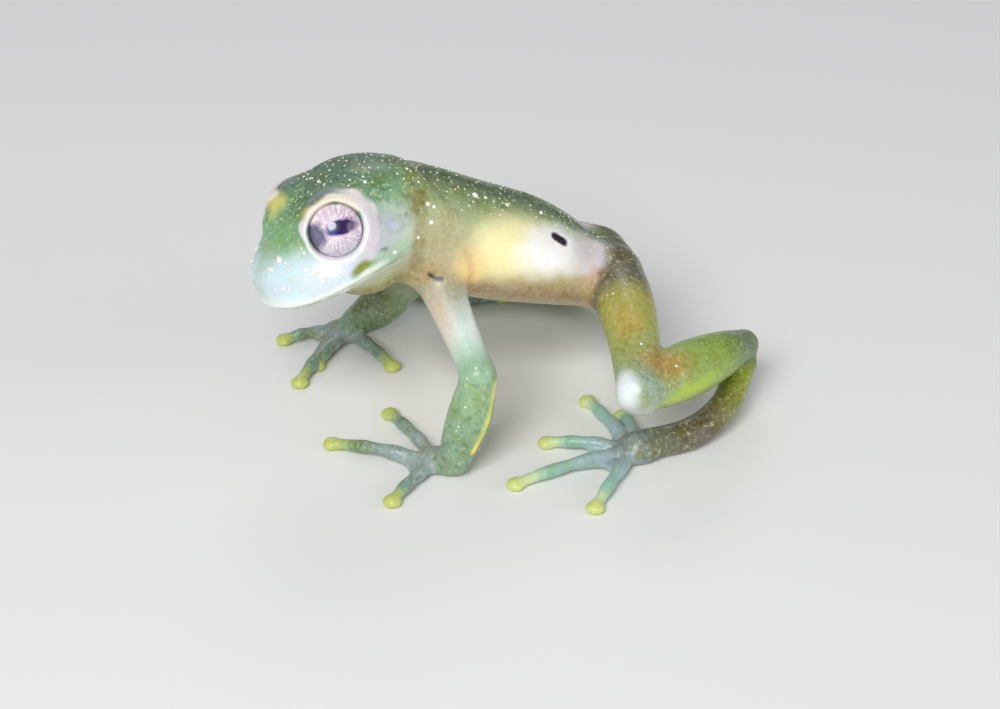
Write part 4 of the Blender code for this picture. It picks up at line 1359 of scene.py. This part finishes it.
@dataclass
class Granules:
    """The raised flecks: some at chosen places, the rest scattered over the upper skin."""

    spacing: float = 0.40
    crowding: float = 4.0
    smallest: float = 0.035
    largest: float = 0.095
    flatness: float = 0.55
    seed: int = 7
    bead_turns: int = 8
    bead_rows: int = 5
    tree: bpy.types.NodeTree = field(init=False, default=None)

    def add(self, kind: str, values: dict | None = None, links: dict | None = None,
            **settings: str) -> bpy.types.Node:
        """Add a node to the tree with its values, links and options."""
        return add_node(self.tree, kind, values, links, settings)

    def store(self, points: bpy.types.NodeSocket, name: str, kind: str,
              value: bpy.types.NodeSocket) -> bpy.types.NodeSocket:
        """Keep a value on each point under a name."""
        node = self.add("GeometryNodeStoreNamedAttribute", {"Name": name},
                        {"Geometry": points}, data_type=kind)
        self.tree.links.new(value, node.inputs["Value"])
        return node.outputs["Geometry"]

    def named(self, name: str, kind: str) -> bpy.types.NodeSocket:
        """Read a value that is kept under a name."""
        return self.add("GeometryNodeInputNamedAttribute", {"Name": name},
                        data_type=kind).outputs["Attribute"]

    def lay_out(self, material: bpy.types.Material) -> None:
        """Build the tree: scatter points, add the chosen ones and set a bead on each."""
        self.tree = bpy.data.node_groups.new("granules", "GeometryNodeTree")
        sockets = self.tree.interface
        for name, kind in (("Skin", "Geometry"), ("Chosen", "Object"), ("Spacing", "Float"),
                           ("Crowding", "Float"), ("Smallest", "Float"), ("Largest", "Float"),
                           ("Flatness", "Float"), ("Seed", "Int")):
            sockets.new_socket(name, in_out="INPUT", socket_type="NodeSocket" + kind)
        sockets.new_socket("Beads", in_out="OUTPUT", socket_type="NodeSocketGeometry")
        given = self.add("NodeGroupInput").outputs
        share = self.named("fleck_share", "FLOAT")
        scatter = self.add("GeometryNodeDistributePointsOnFaces", None, {
            "Mesh": given["Skin"], "Distance Min": given["Spacing"],
            "Density Max": given["Crowding"], "Density Factor": share, "Seed": given["Seed"],
        }, distribute_method="POISSON")
        size = self.add("FunctionNodeRandomValue", None, {
            2: given["Smallest"], 3: given["Largest"]}, data_type="FLOAT").outputs[1]
        scale = self.add("ShaderNodeMath", {1: 0.45, 2: 0.55}, {0: share},
                         operation="MULTIPLY_ADD").outputs[0]
        size = self.add("ShaderNodeMath", None, {0: size, 1: scale},
                        operation="MULTIPLY").outputs[0]
        points = self.store(scatter.outputs["Points"], "size", "FLOAT", size)
        points = self.store(points, "facing", "FLOAT_VECTOR", scatter.outputs["Normal"])
        chosen = self.add("GeometryNodeObjectInfo", None, {"Object": given["Chosen"]})
        chosen = self.add("GeometryNodeMeshToPoints", None, {
            "Mesh": chosen.outputs["Geometry"]}).outputs["Points"]
        both = self.add("GeometryNodeJoinGeometry", None, {"Geometry": chosen})
        self.tree.links.new(points, both.inputs["Geometry"])
        bead = self.add("GeometryNodeMeshUVSphere", {
            "Segments": self.bead_turns, "Rings": self.bead_rows, "Radius": 1.0})
        bead = self.add("GeometryNodeSetShadeSmooth", None, {"Geometry": bead.outputs["Mesh"]})
        size = self.named("size", "FLOAT")
        high = self.add("ShaderNodeMath", None, {0: size, 1: given["Flatness"]},
                        operation="MULTIPLY").outputs[0]
        scale = self.add("ShaderNodeCombineXYZ", None, {"X": size, "Y": size, "Z": high})
        turned = self.add("FunctionNodeAlignRotationToVector", None, {
            "Vector": self.named("facing", "FLOAT_VECTOR")}, axis="Z")
        beads = self.add("GeometryNodeInstanceOnPoints", None, {
            "Points": both.outputs["Geometry"], "Instance": bead.outputs["Geometry"],
            "Rotation": turned.outputs["Rotation"], "Scale": scale.outputs["Vector"]})
        plain = self.add("GeometryNodeRealizeInstances", None, {
            "Geometry": beads.outputs["Instances"]})
        painted = self.add("GeometryNodeSetMaterial", {"Material": material}, {
            "Geometry": plain.outputs["Geometry"]})
        self.add("NodeGroupOutput", None, {"Beads": painted.outputs["Geometry"]})

    def build(self, skin: bpy.types.Object, shares: Array, chosen: bpy.types.Object,
              material: bpy.types.Material) -> bpy.types.Object:
        """Scatter the flecks over the skin as one plain mesh.

        Args:
            skin: The finished skin.
            shares: How crowded the flecks are at each of its points, from 0 to 1.
            chosen: Loose points that each carry a size and a facing.
            material: The flecks' material.

        Returns:
            The flecks.
        """
        self.lay_out(material)
        host = bpy.data.objects.new("granule_host", skin.data.copy())
        bpy.context.scene.collection.objects.link(host)
        layer = host.data.attributes.new("fleck_share", "FLOAT", "POINT")
        layer.data.foreach_set("value", shares.astype(np.float32))
        values = {"Chosen": chosen, "Spacing": self.spacing * MM,
                  "Crowding": self.crowding / MM**2, "Smallest": self.smallest * MM,
                  "Largest": self.largest * MM, "Flatness": self.flatness, "Seed": self.seed}
        modifier = host.modifiers.new("granules", "NODES")
        modifier.node_group = self.tree
        for socket in self.tree.interface.items_tree:
            if socket.in_out == "INPUT" and socket.name in values:
                modifier[socket.identifier] = values[socket.name]
        graph = bpy.context.evaluated_depsgraph_get()
        mesh = bpy.data.meshes.new_from_object(host.evaluated_get(graph))
        host.modifiers.remove(modifier)
        for spare in (host, chosen):
            bpy.data.objects.remove(spare, do_unlink=True)
        item = bpy.data.objects.new("granules", mesh)
        bpy.context.scene.collection.objects.link(item)
        return item


@dataclass(frozen=True)
class EyeFinish:
    """A glossy eye: pinkish silver iris, level blue-black pupil and a violet limb."""

    pupil_half: tuple[float, float] = (0.50, 0.25)
    pupil_shift: tuple[float, float] = (0.18, 0.05)
    pupil_tilt: float = -8.0
    limb_half: tuple[float, float] = (0.40, 0.42)
    limb_shift: tuple[float, float] = (-0.74, 0.05)
    rim_start: float = 0.80
    rim_tone: tuple[int, int, int] = (78, 44, 100)
    limb_tone: tuple[int, int, int] = (44, 40, 98)
    halo_tone: tuple[int, int, int] = (124, 80, 140)

    def material(self) -> bpy.types.Material:
        """Build the material from the eyeball's own gaze map, which is centred on 0.5, 0.5."""
        nodes = Nodes("eye_gloss")
        gaze = nodes.add("ShaderNodeUVMap", uv_map="gaze").outputs["UV"]
        where = nodes.add("ShaderNodeMapping", {"Location": (-1.0, -1.0, 0.0),
                                                "Scale": (2.0, 2.0, 2.0)}, {"Vector": gaze})
        where = where.outputs["Vector"]
        radius = self.length(nodes, where)
        turn = nodes.add("ShaderNodeSeparateXYZ", None, {0: where})
        angle = nodes.maths("ARCTAN2", turn.outputs["Y"], turn.outputs["X"])
        fibre_place = nodes.add("ShaderNodeCombineXYZ", None, {
            "X": nodes.maths("COSINE", angle), "Y": nodes.maths("SINE", angle),
            "Z": nodes.maths("MULTIPLY", radius, 0.6)})
        fibre = nodes.noise(fibre_place.outputs["Vector"], 7.0, 4.0)
        cloud = nodes.noise(where, 3.2, 4.0)
        iris = self.iris(nodes, where, turn, fibre, cloud)
        sideways = nodes.maths("MULTIPLY", turn.outputs["X"], turn.outputs["X"])
        rim = nodes.steps(nodes.maths("MULTIPLY_ADD", fibre, 0.10, radius),
                          self.rim_start + 0.05, self.rim_start + 0.15)
        rim = nodes.maths("MULTIPLY", rim, nodes.steps(sideways, 0.10, 0.55, 0.40, 0.97))
        iris = nodes.mix("MIX", rim, iris, self.rim_tone)
        limb = self.reach(nodes, where, cloud, self.limb_shift, self.limb_half, 0.0, 0.8)
        iris = nodes.mix("MIX", nodes.steps(limb, 1.05, 1.75, 0.85, 0.0), iris,
                         self.limb_tone)
        pupil = self.reach(nodes, where, cloud, self.pupil_shift, self.pupil_half,
                           self.pupil_tilt, 0.45)
        iris = nodes.mix("MIX", nodes.steps(pupil, 1.16, 1.50, 0.75, 0.0), iris,
                         self.halo_tone)
        # The pupil's blue-black, and a painted highlight: its left end is lighter steel-blue where
        # the eye's glint blurs over it.
        pupil_and_glint = nodes.ramp(nodes.steps(turn.outputs["X"], -0.35, 0.30),
                           ((0.0, (92, 112, 170)), (0.45, (40, 46, 128)), (0.8, (26, 18, 92)),
                            (1.0, (52, 20, 84))))
        pupil_and_glint = nodes.mix("MULTIPLY", nodes.steps(cloud, 0.42, 0.6, 0.7, 0.0), pupil_and_glint,
                          (128, 120, 176))
        tone = nodes.mix("MIX", nodes.steps(pupil, 1.08, 1.22, 1.0, 0.0), iris, pupil_and_glint)
        nodes.bump(((fibre, 0.00004),), 0.3)
        return nodes.finish(tone, Roughness=0.25, Coat_Weight=1.0, Coat_Roughness=0.02)

    @staticmethod
    def length(nodes: Nodes, vector: bpy.types.NodeSocket) -> bpy.types.NodeSocket:
        """Add the length of a vector."""
        return nodes.add("ShaderNodeVectorMath", None, {0: vector},
                         operation="LENGTH").outputs["Value"]

    def iris(self, nodes: Nodes, where: bpy.types.NodeSocket, turn: bpy.types.Node,
             fibre: bpy.types.NodeSocket, cloud: bpy.types.NodeSocket) -> bpy.types.NodeSocket:
        """Colour the iris: pinkish white above, cooler below, with fibres and a fine net."""
        net = nodes.add("ShaderNodeTexVoronoi", {"Scale": 9.0}, {"Vector": where},
                        feature="DISTANCE_TO_EDGE").outputs["Distance"]
        iris = nodes.ramp(cloud, ((0.30, (238, 218, 230)), (0.46, (253, 242, 247)),
                                  (0.62, (255, 253, 254))))
        below = nodes.steps(turn.outputs["Y"], -0.75, -0.15, 0.65, 0.0)
        iris = nodes.mix("MULTIPLY", below, iris, (206, 218, 220))
        iris = nodes.mix("MULTIPLY", nodes.steps(fibre, 0.42, 0.62, 0.45, 0.0), iris,
                         (196, 164, 196))
        behind = nodes.steps(turn.outputs["X"], -0.3, 0.6, 0.2, 0.65)
        lines = nodes.maths("MULTIPLY", behind, nodes.steps(net, 0.01, 0.10, 1.0, 0.0))
        return nodes.mix("MULTIPLY", lines, iris, (158, 116, 156))

    @classmethod
    def reach(cls, nodes: Nodes, where: bpy.types.NodeSocket, cloud: bpy.types.NodeSocket,
              shift: tuple[float, float], half: tuple[float, float], tilt: float,
              rough: float) -> bpy.types.NodeSocket:
        """Measure how far out a place is from an oval, with an uneven edge.

        Args:
            nodes: The material's nodes.
            where: The place on the eye.
            cloud: The noise that makes the edge uneven.
            shift: The oval's middle.
            half: The oval's half sizes.
            tilt: How far the oval is turned, in degrees.
            rough: How uneven its edge is.

        Returns:
            About half the roughness in the middle, and one more than that at the edge.
        """
        local = nodes.add("ShaderNodeMapping", {
            "Location": (*shift, 0.0), "Rotation": (0.0, 0.0, math.radians(tilt)),
            "Scale": (*half, 1.0)}, {"Vector": where}, vector_type="TEXTURE")
        gap = cls.length(nodes, local.outputs["Vector"])
        return nodes.maths("MULTIPLY_ADD", cloud, rough, gap)


@dataclass
class Eye:
    """One eyeball with its iris and its level pupil."""

    head: Head
    side: Side
    rows: int = 48
    turns: int = 64
    clearance: float = 0.01

    def build(self, place: Place, finish: bpy.types.Material) -> bpy.types.Object:
        """Make the eyeball with a map of where each point lies round the gaze."""
        radius = self.head.eye_radius - self.clearance
        axes = self.head.eye_axes(self.side)
        centre = self.head.eye_centre(self.side)
        polar = np.linspace(0.0, math.pi, self.rows + 1)[1:-1, None, None]
        turn = np.arange(self.turns)[None, :, None] * 2.0 * math.pi / self.turns
        rings = centre + radius * (np.sin(polar) * np.cos(turn) * axes[0]
                                   + np.sin(polar) * np.sin(turn) * axes[1]
                                   + np.cos(polar) * axes[2])
        shape = ClosedShape.from_rings(rings, centre + radius * axes[2],
                                       centre - radius * axes[2])
        faces = [*shape.quads[:, ::-1].tolist(), *shape.triangles[:, ::-1].tolist()]
        item = place.mesh(self.side.value + "_eyeball", shape.points, faces)
        local = (shape.points - centre) @ axes.T / radius * (self.side.sign, 1.0, 1.0)
        layer = item.data.uv_layers.new(name="gaze")
        corners = np.array([corner.vertex_index for corner in item.data.loops])
        layer.data.foreach_set("uv", (0.5 + 0.5 * local[corners, :2]).astype(np.float32).ravel())
        item.data.materials.append(finish)
        return item


@dataclass
class Studio:
    """Floor, light and camera."""

    azimuth: float = -15.0
    elevation: float = 30.0
    target: Point = (7.4, 0.0, 2.2)
    distance: float = 170.0
    lens: float = 93.02
    sensor: float = 36.0
    floor_half: float = 0.6
    floor_tone: tuple = (0.90, 0.90, 0.88, 1.0)
    floor_roughness: float = 0.8
    world_tone: tuple = (0.9, 0.93, 1.0, 1.0)
    world_strength: float = 0.28
    lamps: tuple = (  # name, place in metres, size, power
        ("key", (-0.15, -0.24, 0.24), 0.20, 1.0),
        ("fill", (0.26, -0.20, 0.12), 0.24, 0.22),
        ("back", (0.06, 0.28, 0.24), 0.16, 0.14),
    )

    def build(self, shift: Array) -> None:
        """Set up the whole studio."""
        self.add_floor()
        self.add_camera(shift)
        for lamp in self.lamps:
            self.add_light(*lamp)
        world = bpy.data.worlds.new("studio")
        world.use_nodes = True
        background = world.node_tree.nodes["Background"]
        background.inputs["Color"].default_value = self.world_tone
        background.inputs["Strength"].default_value = self.world_strength
        bpy.context.scene.world = world
        bpy.context.scene.view_settings.view_transform = "Standard"

    def add_floor(self) -> None:
        """Make the plain pale floor."""
        half = self.floor_half
        mesh = bpy.data.meshes.new("floor")
        mesh.from_pydata([(-half, -half, 0.0), (half, -half, 0.0), (half, half, 0.0),
                          (-half, half, 0.0)], [], [(0, 1, 2, 3)])
        item = bpy.data.objects.new("floor", mesh)
        bpy.context.scene.collection.objects.link(item)
        material = bpy.data.materials.new("floor")
        material.use_nodes = True
        shader = material.node_tree.nodes["Principled BSDF"]
        shader.inputs["Base Color"].default_value = self.floor_tone
        shader.inputs["Roughness"].default_value = self.floor_roughness
        mesh.materials.append(material)

    def add_light(self, name: str, place: Point, size: float, power: float) -> None:
        """Add one soft lamp that faces the frog."""
        lamp = bpy.data.lights.new(name, "AREA")
        lamp.shape = "DISK"
        lamp.size = size
        lamp.energy = power
        item = bpy.data.objects.new(name, lamp)
        item.location = place
        item.rotation_euler = (-Vector(place)).to_track_quat("-Z", "Y").to_euler()
        bpy.context.scene.collection.objects.link(item)

    def add_camera(self, shift: Array) -> None:
        """Place the camera at the photograph's viewing angle."""
        turn, rise = math.radians(self.azimuth), math.radians(self.elevation)
        out = np.array((math.sin(turn) * math.cos(rise), -math.cos(turn) * math.cos(rise),
                        math.sin(rise)))
        target = np.asarray(self.target) * MM + shift
        data = bpy.data.cameras.new("camera")
        data.sensor_width = self.sensor
        data.lens = self.lens
        data.clip_start = 0.01
        item = bpy.data.objects.new("camera", data)
        item.location = target + out * self.distance * MM
        item.rotation_euler = Vector(-out).to_track_quat("-Z", "Y").to_euler()
        bpy.context.scene.collection.objects.link(item)
        bpy.context.scene.camera = item


def main() -> None:
    """Build the frog and its studio."""
    logging.basicConfig(level=logging.INFO, format="%(message)s")
    for item in list(bpy.data.objects):
        if item.name not in frame["nodes"] and not item.name.startswith("body:"):
            bpy.data.objects.remove(item, do_unlink=True)
    head = Head()
    place = Place(head)
    Studio().build(place.shift())
    skin = Skin(head, Trunk(), (LEFT_ARM, RIGHT_ARM, LEFT_LEG, RIGHT_LEG))
    item = skin.build(place)
    flesh = [name for name in frame["nodes"] if not name.endswith("_eye")]
    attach(item, "root")
    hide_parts(*flesh)
    log.info("skin: %d faces", len(item.data.polygons))
    flecks = Granules().build(item, skin.shares, skin.chosen_flecks(place),
                              FleckFinish().material())
    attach(flecks, "root")
    log.info("granules: %d faces", len(flecks.data.polygons))
    gloss = EyeFinish().material()
    for side in Side:
        ball = Eye(head, side).build(place, gloss)
        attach(ball, "root")
        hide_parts(side.value + "_eye")
        log.info("%s: %d faces", ball.name, len(ball.data.polygons))


if __name__ == "__main__":
    main()
